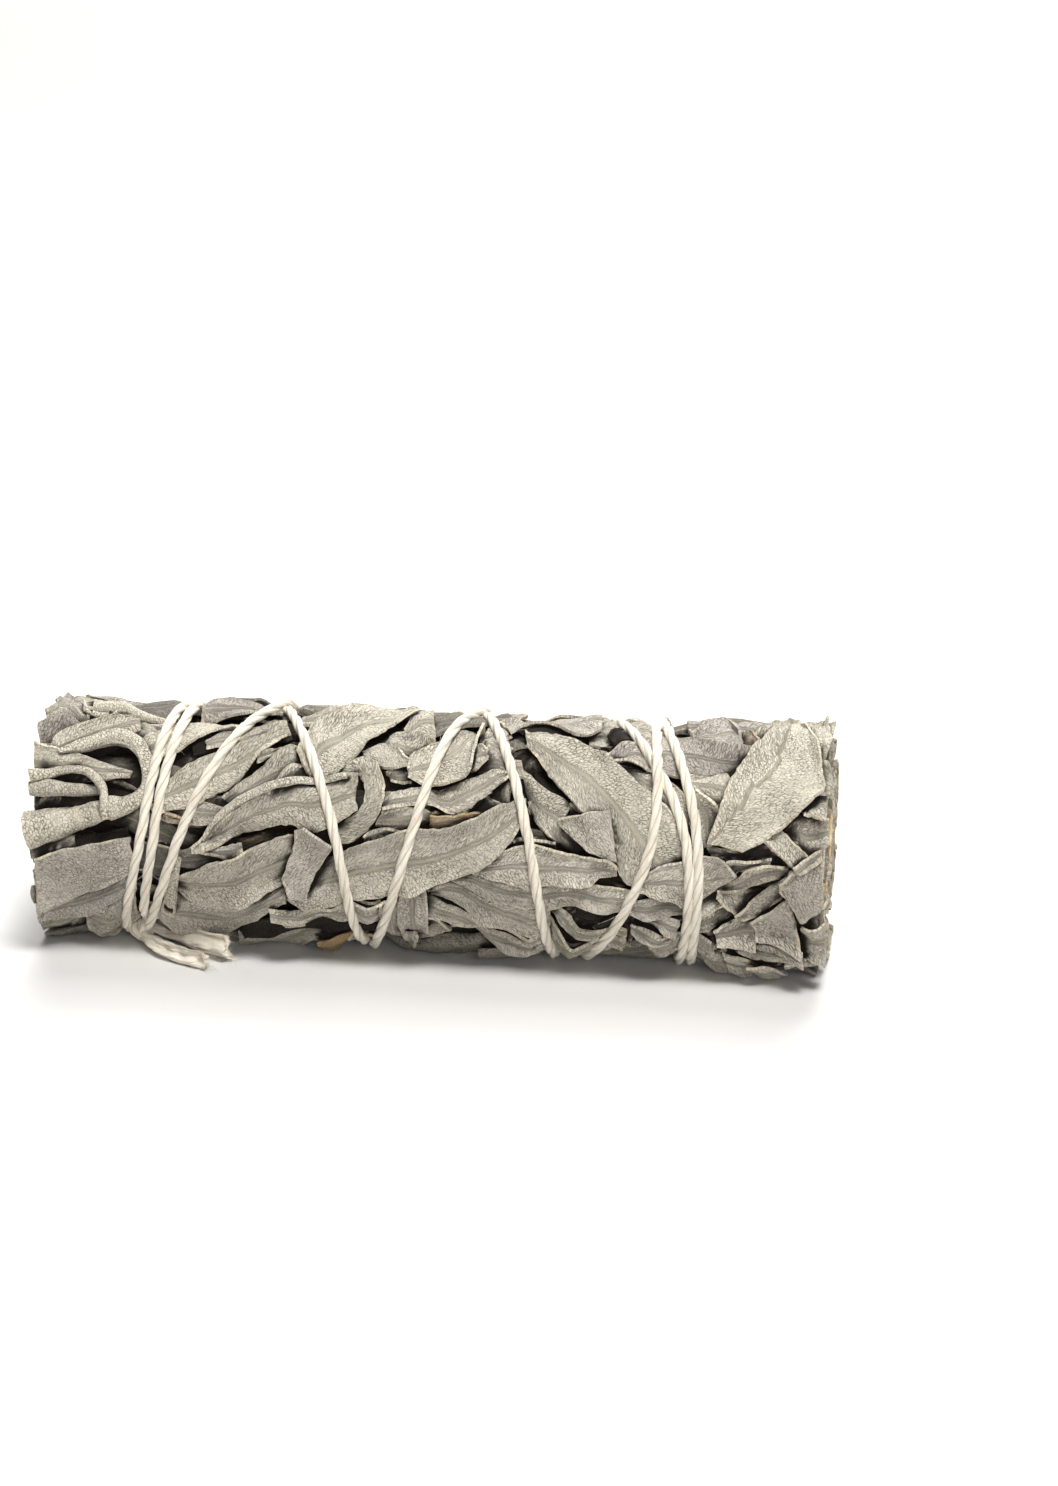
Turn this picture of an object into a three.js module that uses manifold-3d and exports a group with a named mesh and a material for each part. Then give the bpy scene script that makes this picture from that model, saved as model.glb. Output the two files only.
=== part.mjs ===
// A sage smudge stick: five leafy sprigs of dried white sage laid side by side, pressed into a
// roll, trimmed flat at both ends and bound with one length of cotton twine.
// Millimetres. X runs along the roll, Z is up, and the roll lies on the plane z = 0.
// An angle round the roll is 0 at the front (-Y), 90 on top, 180 at the back and -90 underneath.
import * as THREE from "three";
import { mergeVertices } from "three/addons/utils/BufferGeometryUtils.js";
import Module from "manifold-3d";

const wasm = await Module();
wasm.setup();

// Driving sizes of the roll.
const LENGTH = 102;
const HALF = LENGTH / 2;
const RADIUS = 14.7;
const AXIS_HEIGHT = 14.15;
const LEFT_TAPER = 0.055;
const RIGHT_TAPER = 0.01;
const GAP = 0.3;

// Leaves: what lies under them, how thick a blade is, and how far it stands above what it lies on.
const CORE_DEPTH = 2.7;
const CORE_DEPTH_BEHIND = 1.2;
const BLADE = 1.9;
const RISE_DEEP = 0.8;
const RISE_AT_SKIN = 0.34;
const OUTER_SLACK = 1.1;
const EDGE_WAVE = 0.2;
const ROLLED_ARCH = 0.9;

// Twine.
const TWINE = 1.5;
const TWINE_RISE = 0.3;
const FLOOR_GAP = 0.45;
const GROOVE = (TWINE + 2 * GAP) * Math.SQRT2;
const CROSSING_LIFT = 1.35;
const CROSSING_REACH = 2.2;
const STEPS_PER_TURN = 14;

// The stick is described as it is seen from a little above and a little to the right, so a place
// that is seen in front lies further along the roll than one seen at its middle height.
const SEEN_FROM = 18;
const SEEN_RADIUS = 15.2;
const SEEN_SCALE = 1.025;
const SEEN_RAISE = 0.8;
const SEEN_SHIFT = -0.65;
const SEEN_ASIDE = 2.5;

const radians = THREE.MathUtils.degToRad;
const degrees = THREE.MathUtils.radToDeg;
const clamp = THREE.MathUtils.clamp;

// A repeatable draw from 0 to 1 for a whole number n.
function draw(n) {
  const wave = Math.sin(n * 12.9898 + 78.233) * 43758.5453;
  return wave - Math.floor(wave);
}

function drawBetween(low, high, n) {
  return low + (high - low) * draw(n);
}

// Radius of the pressed roll at x: a slight belly, narrower towards the ends.
function rollRadius(x) {
  const taper = x < 0 ? LEFT_TAPER : RIGHT_TAPER;
  return RADIUS * (1.012 - taper * (x / HALF) ** 2);
}

// The point at x, at an angle in degrees round the roll, r from its axis.
function place(x, angle, r) {
  const a = radians(angle);
  return new THREE.Vector3(x, -r * Math.cos(a), AXIS_HEIGHT + r * Math.sin(a));
}

// A closed three.js geometry as a solid.
function solidOf(geometry) {
  const bare = geometry.index ? geometry.toNonIndexed() : geometry.clone();
  bare.deleteAttribute("normal");
  bare.deleteAttribute("uv");
  const merged = mergeVertices(bare, 1e-4);
  return new wasm.Manifold(
    new wasm.Mesh({
      numProp: 3,
      vertProperties: new Float32Array(merged.attributes.position.array),
      triVerts: new Uint32Array(merged.index.array),
    }),
  );
}

function geometryOf(solid) {
  const mesh = solid.getMesh();
  const geometry = new THREE.BufferGeometry();
  geometry.setAttribute("position", new THREE.BufferAttribute(mesh.vertProperties, 3));
  geometry.setIndex(new THREE.BufferAttribute(mesh.triVerts, 1));
  geometry.computeVertexNormals();
  return geometry;
}

function union(solids) {
  return wasm.Manifold.union(solids);
}

// The largest bodies of a solid: scraps are dropped, and sealed hollows filled.
function largestBodies(solid, count) {
  const bodies = solid.decompose().sort((a, b) => b.volume() - a.volume());
  return bodies.slice(0, count);
}

// A closed slab between two grids of points, upper and lower, that have the same rows and columns.
function slab(upper, lower) {
  const rows = upper.length;
  const columns = upper[0].length;
  const points = [...upper.flat(), ...lower.flat()];
  const under = rows * columns;
  const faces = [];
  const quad = (a, b, c, d) => faces.push(a, b, c, a, c, d);
  for (let i = 0; i + 1 < rows; i++) {
    for (let j = 0; j + 1 < columns; j++) {
      const a = i * columns + j;
      quad(a, a + columns, a + columns + 1, a + 1);
      quad(under + a, under + a + 1, under + a + columns + 1, under + a + columns);
    }
  }
  for (let i = 0; i + 1 < rows; i++) {
    const a = i * columns;
    const b = a + columns - 1;
    quad(a, under + a, under + a + columns, a + columns);
    quad(b, b + columns, under + b + columns, under + b);
  }
  for (let j = 0; j + 1 < columns; j++) {
    const b = (rows - 1) * columns + j;
    quad(j, j + 1, under + j + 1, under + j);
    quad(b, under + b, under + b + 1, b + 1);
  }
  const geometry = new THREE.BufferGeometry();
  const flat = points.flatMap((p) => [p.x, p.y, p.z]);
  geometry.setAttribute("position", new THREE.Float32BufferAttribute(flat, 3));
  geometry.setIndex(faces);
  const solid = solidOf(geometry);
  return solid.volume() < 0 ? solidOf(turned(geometry)) : solid;
}

// The same geometry with its faces turned the other way.
function turned(geometry) {
  const index = geometry.index.array;
  for (let i = 0; i < index.length; i += 3) {
    [index[i + 1], index[i + 2]] = [index[i + 2], index[i + 1]];
  }
  return geometry;
}

// Leaves on the face that is seen. Each has a path of [x, height above the axis as seen] from its
// base to its tip, its width as seen on the flat, the share of a whole leaf that is left after
// tearing, and how far it is arched across, in radians from its rib to its edge.
const SHOWN_LEAVES = [
  { path: [[-51.5, 9.4], [-43.5, 8.6]], width: 4.6, part: [0.3, 0.85], arch: 0.4 },
  { path: [[-50.5, 7], [-43, 10.8], [-35.5, 9]], width: 4.4, part: [0.1, 1], arch: 0.6 },
  { path: [[-52, 5.7], [-38.5, 5.6]], width: 4.2, part: [0.45, 1], arch: 0.6 },
  { path: [[-52, 2.4], [-41.5, 3.3]], width: 2, part: [0.3, 0.8], arch: 1.5 },
  { path: [[-52, -12.3], [-37, -9.8]], width: 5.4, part: [0.3, 1], arch: 0.5 },
  { path: [[-52, -8], [-32.5, -6.7]], width: 8.6, part: [0.28, 0.95], arch: 0.35 },
  { path: [[-44.5, 14.2], [-32, 13.6]], width: 2.4, part: [0.3, 0.8], arch: 1.5 },
  { path: [[-37, 7.8], [-31, 11], [-24.5, 12]], width: 5.4, part: [0.1, 1], arch: 0.6 },
  { path: [[-36, -13.6], [-14, -8.6]], width: 6.5, part: [0.1, 1], arch: 0.5 },
  { path: [[-27.5, 1], [-13, 9.6]], width: 4.6, part: [0, 0.9], arch: 0.7 },
  { path: [[-34.5, 1.8], [-26, 7.4], [-18, 10.8]], width: 4.6, part: [0.1, 1], arch: 0.7 },
  { path: [[-35, -10], [-25, -5.8], [-14.5, -3]], width: 7.6, part: [0.08, 1], arch: 0.5 },
  { path: [[-17.5, 4.2], [-9, 9.8], [-0.5, 14]], width: 7.4, part: [0, 1], arch: 0.5 },
  { path: [[-31, -4.6], [-20, 0.4], [-8, 3.8]], width: 4.8, part: [0.03, 0.74], arch: 0.6 },
  { path: [[-13.5, -3], [-7.6, 1.4], [-5.8, 6], [-8.2, 9]], width: 3.6, part: [0.1, 0.9], arch: 0.7 },
  { path: [[-4, 5.6], [6.2, 12]], width: 5.8, part: [0.1, 0.7], arch: 0.5 },
  { path: [[-6, 2.2], [10.5, 7.6]], width: 3.8, part: [0, 0.85], arch: 0.8 },
  { path: [[-1.5, -8], [6, -11.6], [17, -13.4]], width: 5.4, part: [0, 1], arch: 0.5 },
  { path: [[1.5, -6.2], [14, -8.2], [28, -7.4]], width: 4.4, part: [0, 1], arch: 0.5 },
  { path: [[4.4, -4.4], [22.6, -3.9]], width: 4.7, part: [0, 0.78], arch: 0.45 },
  { path: [[5.6, 12], [22, 13.7]], width: 5.4, part: [0, 0.95], arch: 0.5 },
  { path: [[20.5, 9.4], [30, 10.6], [41, 11.4]], width: 5, part: [0, 1], arch: 0.4 },
  { path: [[11.6, 12.2], [23.5, 6.6], [31.5, -8.4]], width: 9.8, part: [0, 0.9], arch: 0.35 },
  { path: [[25, -8.8], [38, -3.4]], width: 5.4, part: [0, 0.85], arch: 0.4 },
  { path: [[31, -5.4], [43, -2]], width: 5, part: [0, 0.9], arch: 0.5 },
  { path: [[27, -12.2], [44.5, -13.8]], width: 6, part: [0, 1], arch: 0.4 },
  { path: [[35, -7.6], [45, -3.2]], width: 4.4, part: [0.1, 0.9], arch: 0.4 },
  { path: [[41.5, -1.8], [51.5, 2]], width: 6.4, part: [0.15, 0.7], arch: 0.35 },
  { path: [[46, -7.4], [52.5, -4.2]], width: 5.6, part: [0.2, 0.7], arch: 0.3 },
  { path: [[39.5, -11], [49, -0.6]], width: 6.8, part: [0.08, 0.8], arch: 0.35 },
  { path: [[43, -13.4], [52.5, -9.4]], width: 6.6, part: [0.2, 0.72], arch: 0.3 },
  { path: [[37, -12], [46, -8]], width: 5, part: [0.15, 0.75], arch: 0.25 },
  { path: [[34.6, -1.8], [42, 7.6], [48.5, 14]], width: 10.8, part: [0.1, 0.84], arch: 0.3 },
  { path: [[-18.6, -10], [-2, -5.6], [11.6, 4.4]], width: 8.8, part: [0, 1], arch: 0.4 },
  { path: [[15.6, 2.4], [22.2, -1.2]], width: 5.4, part: [0.3, 0.66], arch: 0.2 },
  { path: [[-16, -0.6], [-17.4, -9.8]], width: 4.4, part: [0.3, 0.74], arch: 0.3 },
  { path: [[-52, 4.3], [-45, 5.2], [-41.2, 3.2], [-41, -0.8]], width: 1.9, part: [0.2, 0.9], arch: 1.3 },
  {
    path: [[-52, -2.4], [-43, 0], [-36.4, 3], [-35.6, 7.4], [-40, 9.9], [-46.5, 7.8]],
    width: 3.5,
    part: [0.3, 0.9],
    arch: 1.4,
  },
];

// Leaves of the rest of the roll: rows round its back and underside, each leaf nearly along it.
const WRAP_FROM = 100;
const WRAP_TO = 326;
const WRAP_ROWS = 5;
const WRAP_PER_ROW = 4;
const WRAP_LENGTH = [24, 40];
const WRAP_WIDTH = [8, 12];
const WRAP_SLANT = 22;
const DRAWS_PER_LEAF = 10;

// A point of the unrolled surface: x, and the distance round the roll.
function unrolled(x, angle) {
  return new THREE.Vector2(x, radians(angle) * RADIUS);
}

// The place on the roll that is seen at x and height from the middle of the view.
function seenAt([x, height]) {
  const sine = (SEEN_RAISE + SEEN_SCALE * height) / SEEN_RADIUS;
  const angle = SEEN_FROM + degrees(Math.asin(clamp(sine, -0.999, 0.999)));
  const along = SEEN_SCALE * x + SEEN_SHIFT + SEEN_ASIDE * Math.cos(radians(angle));
  return unrolled(along, angle);
}

function shownLeaf(leaf) {
  return { ...leaf, path: leaf.path.map(seenAt) };
}

function wrapLeaf(row, spot) {
  const number = row * WRAP_PER_ROW + spot;
  const from = (low, high, k) => drawBetween(low, high, number * DRAWS_PER_LEAF + k);
  const length = from(...WRAP_LENGTH, 1);
  const slant = radians(from(-WRAP_SLANT, WRAP_SLANT, 2));
  const bow = from(-2.5, 2.5, 3);
  const stagger = (row % 2) * 0.5;
  const x = -HALF + (LENGTH * (spot + stagger + from(-0.2, 0.2, 4))) / (WRAP_PER_ROW - 0.5);
  const angle = WRAP_FROM + ((WRAP_TO - WRAP_FROM) * (row + from(-0.25, 0.25, 5))) / (WRAP_ROWS - 1);
  const centre = unrolled(x, angle);
  const along = new THREE.Vector2(Math.cos(slant), Math.sin(slant));
  if (draw(number * DRAWS_PER_LEAF + 6) < 0.35) along.negate();
  const across = new THREE.Vector2(-along.y, along.x);
  return {
    path: [
      centre.clone().addScaledVector(along, -length / 2),
      centre.clone().addScaledVector(across, bow),
      centre.clone().addScaledVector(along, length / 2),
    ],
    width: from(...WRAP_WIDTH, 7),
    part: [from(0, 0.3, 8), from(0.72, 1, 9)],
    arch: from(0.35, 0.7, 0),
  };
}

// Half the width of a whole leaf at a share t of its length, 1 at its widest.
function leafOutline(t) {
  return Math.sin(Math.PI * clamp(t, 0, 1) ** 0.9) ** 0.7;
}

// The height of what is laid so far, on a grid of the unrolled surface.
const CELL = 1;
const ROUND = 2 * Math.PI * RADIUS;
const CELLS_ALONG = Math.ceil((LENGTH + 24) / CELL);
const CELLS_ROUND = Math.round(ROUND / CELL);
const laid = new Float64Array(CELLS_ALONG * CELLS_ROUND);

function cellAt(x, s) {
  const i = clamp(Math.round((x + HALF + 12) / CELL), 0, CELLS_ALONG - 1);
  const turn = ((s / ROUND) % 1) + 1;
  return i * CELLS_ROUND + (Math.round(turn * CELLS_ROUND) % CELLS_ROUND);
}

// The packed leaves under the outer ones, nearer the skin behind, where fewer lie on them.
const MOST_LAYERS_AT = 33;

function coreRadius(x, angle) {
  const behind = 0.5 - 0.5 * Math.cos(radians(angle - MOST_LAYERS_AT));
  const depth = CORE_DEPTH + (CORE_DEPTH_BEHIND - CORE_DEPTH) * behind;
  const ripple = 0.3 * Math.sin(radians(5 * angle + 6 * x)) + 0.2 * Math.sin(radians(8 * angle - 9 * x));
  return rollRadius(x) - depth + ripple;
}

function startLaying() {
  for (let i = 0; i < CELLS_ALONG; i++) {
    for (let j = 0; j < CELLS_ROUND; j++) {
      laid[i * CELLS_ROUND + j] = coreRadius(i * CELL - HALF - 12, (360 * j) / CELLS_ROUND);
    }
  }
}

// How far a leaf stands above what is under it: less the nearer that is to the roll's skin.
function riseOver(x, height) {
  const depth = clamp((rollRadius(x) + 0.3 - height) / CORE_DEPTH, 0, 1);
  return RISE_AT_SKIN + (RISE_DEEP - RISE_AT_SKIN) * depth;
}

function kept(x, r) {
  return Math.min(r, rollRadius(x) + OUTER_SLACK);
}

// Lays one leaf on what is there: it rests on the high places under each of its rows, is arched
// across, and its blade sinks into what it touches. Returns its solid and raises the laid height.
function layLeaf(leaf, number) {
  const curve = new THREE.SplineCurve(leaf.path);
  const rolled = leaf.arch > ROLLED_ARCH;
  const rows = clamp(Math.round(curve.getLength() / (rolled ? 5 : 10)), 2, rolled ? 9 : 5);
  const halfColumns = rolled ? 2 : 1;
  const arch = Math.min(leaf.arch, 1.5);
  const flatHalf = (leaf.width / 2) * (arch / Math.sin(arch));
  const section = (v, half) => {
    const turn = arch * v;
    return [(half * Math.sin(turn)) / arch, (half * (Math.cos(turn) - 1)) / arch];
  };

  const frameAt = (u) => {
    const [t0, t1] = leaf.part;
    const half = Math.max(0.45, flatHalf * leafOutline(t0 + (t1 - t0) * u));
    const centre = curve.getPointAt(u);
    const ahead = curve.getTangentAt(u);
    return { half, centre, across: new THREE.Vector2(-ahead.y, ahead.x) };
  };
  const pointOn = (frame, v) => {
    const [aside, drop] = section(v, frame.half);
    return [frame.centre.clone().addScaledVector(frame.across, aside), drop];
  };

  const frames = [];
  const rests = [];
  for (let i = 0; i <= rows; i++) {
    const frame = frameAt(i / rows);
    const under = [-1, -0.5, 0, 0.5, 1].map((v) => {
      const [at, drop] = pointOn(frame, v);
      return laid[cellAt(at.x, at.y)] - drop;
    });
    const mean = under.reduce((sum, h) => sum + h, 0) / under.length;
    const support = 0.75 * Math.max(...under) + 0.25 * mean;
    frames.push(frame);
    rests.push(support + riseOver(frame.centre.x, support) * (rolled ? 1.5 : 1));
  }
  const smooth = rests.map((h, i) => (h * 2 + (rests[i - 1] ?? h) + (rests[i + 1] ?? h)) / 4);

  const upper = [];
  const lower = [];
  frames.forEach((frame, i) => {
    const tops = [];
    const bottoms = [];
    const edgeDrop = section(1, frame.half)[1];
    for (let j = -halfColumns; j <= halfColumns; j++) {
      const [at, drop] = pointOn(frame, j / halfColumns);
      const wave = rolled ? 0 : EDGE_WAVE * Math.abs(j) * Math.sin(2.4 * i + 1.9 * number + j);
      const top = kept(at.x, smooth[i] + drop + wave);
      const bottom = rolled ? kept(at.x, smooth[i] + edgeDrop) - 0.9 : top - BLADE;
      const angle = degrees(at.y / RADIUS);
      tops.push(place(at.x, angle, top));
      bottoms.push(place(at.x, angle, bottom));
    }
    upper.push(tops);
    lower.push(bottoms);
  });
  raiseLaid(frameAt, pointOn, smooth, rows, curve.getLength(), leaf.width);
  return slab(upper, lower);
}

function raiseLaid(frameAt, pointOn, heights, rows, length, width) {
  const along = Math.ceil(length / (CELL * 0.7));
  const aside = Math.ceil(width / (CELL * 0.7));
  for (let i = 0; i <= along; i++) {
    const u = i / along;
    const frame = frameAt(u);
    const row = Math.min(Math.floor(u * rows), rows - 1);
    const base = THREE.MathUtils.lerp(heights[row], heights[row + 1], u * rows - row);
    for (let j = 0; j <= aside; j++) {
      const [at, drop] = pointOn(frame, (2 * j) / aside - 1);
      const cell = cellAt(at.x, at.y);
      laid[cell] = Math.max(laid[cell], kept(at.x, base + drop));
    }
  }
}

// The packed leaves that the outer ones lie on.
function makeCore() {
  const AROUND = 18;
  const ALONG = 6;
  const shape = (r) =>
    Array.from({ length: ALONG + 1 }, (_, i) =>
      Array.from({ length: AROUND + 1 }, (_, j) => {
        const x = -HALF - 2 + ((LENGTH + 4) * i) / ALONG;
        const angle = (360 * (j % AROUND)) / AROUND;
        return place(x, angle, r > 0 ? coreRadius(x, angle) : 0.4);
      }),
    );
  return slab(shape(1), shape(0)).add(solidOf(barOf(1.2, LENGTH + 4)));
}

// A bar along X, centred on the roll's axis.
function barOf(radius, length) {
  const bar = new THREE.CylinderGeometry(radius, radius, length, 16);
  bar.rotateZ(Math.PI / 2);
  bar.translate(0, 0, AXIS_HEIGHT);
  return bar;
}

// Where each turn of the twine passes the back, the top, the front and the underside, as x. It
// starts at the knot, runs to the right, is doubled there, and comes back to the knot.
const TOP = 90 + SEEN_FROM;
const TURNS = [
  [-31.2, -33.6, -35.4, -39.8],
  [-34.6, -32.2, -33.8, -36.6],
  [-26.5, -20.8, -10.9, -7.4],
  [-0.4, 5.6, 13.8, 16.5],
  [18.2, 22.5, 33.6, 31.8],
  [28.4, 28.6, 35, 33.4],
  [32.4, 28.2, 29.2, 19],
  [11.8, 4.4, -0.9, -8.2],
  [-14.8, -21, -30, -38.4],
];
const KNOT = { x: -37.6, angle: -55 };

// The twine's route as [turned angle, x]: it goes down the front and up the back.
function windingPoints() {
  const points = [[KNOT.angle, KNOT.x]];
  TURNS.forEach(([back, top, front, underside], turn) => {
    const start = TOP - 360 * (turn + 1);
    points.push([start + 90, back], [start, top], [start - 90, front], [start - 180, underside]);
  });
  return points;
}

// The centre line before crossings are told apart: x and angle at even steps.
function windingLine() {
  const controls = windingPoints().map(([angle, x]) => new THREE.Vector2(angle, x));
  const curve = new THREE.SplineCurve(controls);
  const turned = Math.abs(controls[controls.length - 1].x - controls[0].x);
  const count = Math.round((turned / 360) * STEPS_PER_TURN);
  return Array.from({ length: count + 1 }, (_, i) => {
    const p = curve.getPoint(i / count);
    return { angle: p.x, x: p.y, shift: 0 };
  });
}

function twineRadius(x, angle) {
  const skin = rollRadius(x) + TWINE_RISE;
  const down = -Math.sin(radians(angle));
  const floor = down > 0.2 ? (AXIS_HEIGHT - TWINE / 2 - FLOOR_GAP) / down : Infinity;
  return Math.min(skin, floor);
}

// Where two stretches cross, the later one passes over and presses the earlier one in.
function tellCrossingsApart(line) {
  const surface = (p) => [p.x, (((p.angle % 360) + 360) % 360)];
  const stepLength = ROUND / STEPS_PER_TURN;
  const crossings = [];
  for (let i = 0; i + 1 < line.length; i++) {
    for (let j = i + Math.round(STEPS_PER_TURN / 2); j + 1 < line.length; j++) {
      const [ax, aa] = surface(line[i]);
      const [bx, ba] = surface(line[j]);
      const apart = ((((ba - aa) % 360) + 540) % 360) - 180;
      const step = 360 / STEPS_PER_TURN;
      if (apart > 0 && apart <= step) {
        const share = apart / step;
        const here = bx + (line[j + 1].x - bx) * share - ax;
        const share2 = Math.min(j + 2, line.length - 1);
        const next = line[j + 1].x + (line[share2].x - line[j + 1].x) * share - line[i + 1].x;
        if (here * next < 0) {
          const t = here / (here - next);
          crossings.push([i + t, j + share + t]);
        }
      }
    }
  }
  for (const [earlier, later] of crossings) {
    const p = line[Math.round(earlier)];
    const height = place(0, p.angle, twineRadius(p.x, p.angle)).z;
    const up = CROSSING_LIFT * 0.5 * clamp((height - 2) / 4, 0, 1);
    line.forEach((q, k) => {
      const near = (at) => Math.exp(-((((k - at) * stepLength) / CROSSING_REACH) ** 2));
      q.shift += up * near(later) - (CROSSING_LIFT - up) * near(earlier);
    });
  }
  return line;
}

const route = tellCrossingsApart(windingLine()).map((p) =>
  place(p.x, p.angle, twineRadius(p.x, p.angle) + clamp(p.shift, -1.4, 0.7)),
);

// A closed tube of a round or flattened section along points.
function tube(points, width, height, sides, steps) {
  const outline = new THREE.Shape();
  for (let k = 0; k < sides; k++) {
    const a = (2 * Math.PI * (k + 0.5)) / sides;
    const corner = [(height / 2) * Math.cos(a), (width / 2) * Math.sin(a)];
    if (k === 0) outline.moveTo(...corner);
    else outline.lineTo(...corner);
  }
  const extrudePath = new THREE.CatmullRomCurve3(points);
  return solidOf(new THREE.ExtrudeGeometry(outline, { steps, extrudePath, bevelEnabled: false }));
}

// The wound twine in stretches that don't cross themselves and run a little into each other,
// joined in one solid.
const STRETCH_STARTS = [0, 1, 4, 5, 6];

function winding(diameter, sides) {
  const curve = new THREE.CatmullRomCurve3(route);
  const turns = (route.length - 1) / STEPS_PER_TURN;
  const stretches = STRETCH_STARTS.map((start, i) => {
    const end = (STRETCH_STARTS[i + 1] ?? turns - 0.03) + 0.03;
    const steps = Math.round((end - start) * STEPS_PER_TURN);
    const points = [];
    for (let k = 0; k <= steps; k++) {
      points.push(curve.getPoint((start + ((end - start) * k) / steps) / turns));
    }
    return tube(points, diameter, diameter, sides, steps);
  });
  return union(stretches);
}

// The knot at the lower front, near the left end, and its two frayed tails, flat bands that stand
// on edge on the surface in front of the roll.
const TAILS = [
  {
    height: 3.1,
    points: [[-37.2, -8, 2.1], [-33.6, -9.2, 1.8], [-29.4, -11.7, 1.75], [-25.2, -13.8, 1.75]],
  },
  {
    height: 2.2,
    points: [[-37.9, -8.6, 1.7], [-35, -12, 1.4], [-31.4, -14.8, 1.35], [-27.6, -16.5, 1.35]],
  },
];

function knotAndTails(grow) {
  const at = place(KNOT.x, KNOT.angle, rollRadius(KNOT.x) + 0.6);
  const loops = [20, 110].map((turn) => {
    const loop = new THREE.TorusGeometry(1, 0.62 + grow, 4, 8);
    loop.rotateY(radians(turn));
    loop.rotateX(radians(30));
    loop.translate(at.x, at.y, at.z);
    return solidOf(loop);
  });
  const tails = TAILS.map(({ height, points }) =>
    tube(points.map((p) => new THREE.Vector3(...p)), TWINE + 2 * grow, height + 2 * grow, 6, 7),
  );
  return union([...loops, ...tails]);
}

// Stalks of the sprigs: their place in the cross-section, radius, pith hole and inner end.
const HEART = { y: -1.8, z: AXIS_HEIGHT + 0.7 };
const STALKS = [
  { at: [3.3, 3.4], radius: 2, hole: 0.95, inner: -24, stand: 0 },
  { at: [-3.2, 3.1], radius: 2.8, hole: 1.5, inner: -30, stand: 0.9 },
  { at: [-5.6, -1.9], radius: 2, hole: 0.5, inner: -26, stand: 0.7 },
  { at: [-1.4, -5.2], radius: 1.3, hole: 0.5, inner: -14, stand: -0.4 },
  { at: [3.5, -2.6], radius: 2.6, hole: 1.45, inner: -32, stand: 0.4 },
];
const STALK_END = HALF - 1;
const PITH_HOLE_DEPTH = 7;

// A body turned about the line of a stalk, from a profile of [radius, x].
function aroundStalk(stalk, profile, sides) {
  const points = profile.map(([r, x]) => new THREE.Vector2(r, x));
  const body = new THREE.LatheGeometry(points, sides);
  body.rotateZ(-Math.PI / 2);
  body.translate(0, HEART.y + stalk.at[0], HEART.z + stalk.at[1]);
  const solid = solidOf(body);
  return solid.volume() < 0 ? solidOf(turnedAll(body)) : solid;
}

function turnedAll(geometry) {
  const indexed = mergeVertices(geometry.deleteAttribute("normal").deleteAttribute("uv"), 1e-4);
  return turned(indexed);
}

function makeStalk(stalk) {
  const end = STALK_END + stalk.stand;
  const thin = stalk.radius * 0.78;
  const profile = [
    [0, stalk.inner],
    [thin, stalk.inner],
    [stalk.radius, end - 18],
    [stalk.radius, end],
    [stalk.hole, end],
    [stalk.hole * 0.8, end - PITH_HOLE_DEPTH],
    [0, end - PITH_HOLE_DEPTH],
  ];
  return aroundStalk(stalk, profile, 12);
}

function stalkHole(stalk) {
  const r = stalk.radius + GAP;
  const profile = [[0, stalk.inner - GAP], [r, stalk.inner - GAP], [r, HALF + 4], [0, HALF + 4]];
  return aroundStalk(stalk, profile, 12);
}

// The seams between the sprigs start at the heart of the roll and bend over each other outwards.
const SEAM_ANGLES = [14, 98, 172, 232, 304];
const SEAM_BEND = 38;
const SEAM_TWIST = 12;
const SEAM_REACH = 21;

function seam(angle, number) {
  const STATIONS = 3;
  const POINTS = 3;
  const line = (x, k) => {
    const share = k / POINTS;
    const wave = 7 * Math.sin(x * 0.13 + number * 2.1) * share;
    const a = radians(angle + SEAM_BEND * share * share + (SEAM_TWIST * x) / HALF + wave);
    const reach = SEAM_REACH * share;
    return new THREE.Vector2(HEART.y + reach * Math.cos(a), HEART.z + reach * Math.sin(a));
  };
  const side = (offset) =>
    Array.from({ length: STATIONS + 1 }, (_, i) => {
      const x = -HALF - 3 + ((LENGTH + 6) * i) / STATIONS;
      return Array.from({ length: POINTS + 1 }, (_, k) => {
        const p = line(x, k);
        const q = line(x, Math.min(k + 1, POINTS));
        const b = line(x, Math.min(k, POINTS - 1));
        const ahead = q.clone().sub(k < POINTS ? p : b).normalize();
        return new THREE.Vector3(x, p.x - ahead.y * offset, p.y + ahead.x * offset);
      });
    });
  return slab(side(GAP / 2), side(-GAP / 2));
}

// Thin curled strips that stand out of the trimmed ends, as the cut edges of folded leaves.
const FOLDS = 12;
const FOLD_THICK = 0.8;

function makeFold(number, end) {
  const from = (low, high, k) => drawBetween(low, high, 900 + number * 7 + (end > 0 ? 300 : 0) + k);
  const middle = (360 / FOLDS) * (number + from(-0.3, 0.3, 1));
  const distance = RADIUS * from(0.4, 0.68, 2);
  const curl = from(1.6, 2.6, 3);
  const spread = from(1.6, 2.9, 4);
  const centre = place(0, middle, distance);
  const tip = HALF - from(0, 0.9, 5);
  const STEPS = 7;
  const arc = (offset, x) =>
    Array.from({ length: STEPS + 1 }, (_, k) => {
      const a = radians(middle) + curl * (k / STEPS - 0.5);
      const r = spread + offset;
      return new THREE.Vector3(end * x, centre.y - r * Math.cos(a), centre.z + r * Math.sin(a));
    });
  const rows = (offset) => [arc(offset, HALF - 5), arc(offset, tip)];
  return slab(rows(FOLD_THICK / 2), rows(-FOLD_THICK / 2));
}

function boxBetween(low, high) {
  const size = high.clone().sub(low);
  const box = new THREE.BoxGeometry(size.x, size.y, size.z);
  box.translate(...low.clone().add(high).divideScalar(2).toArray());
  return solidOf(box);
}

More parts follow.
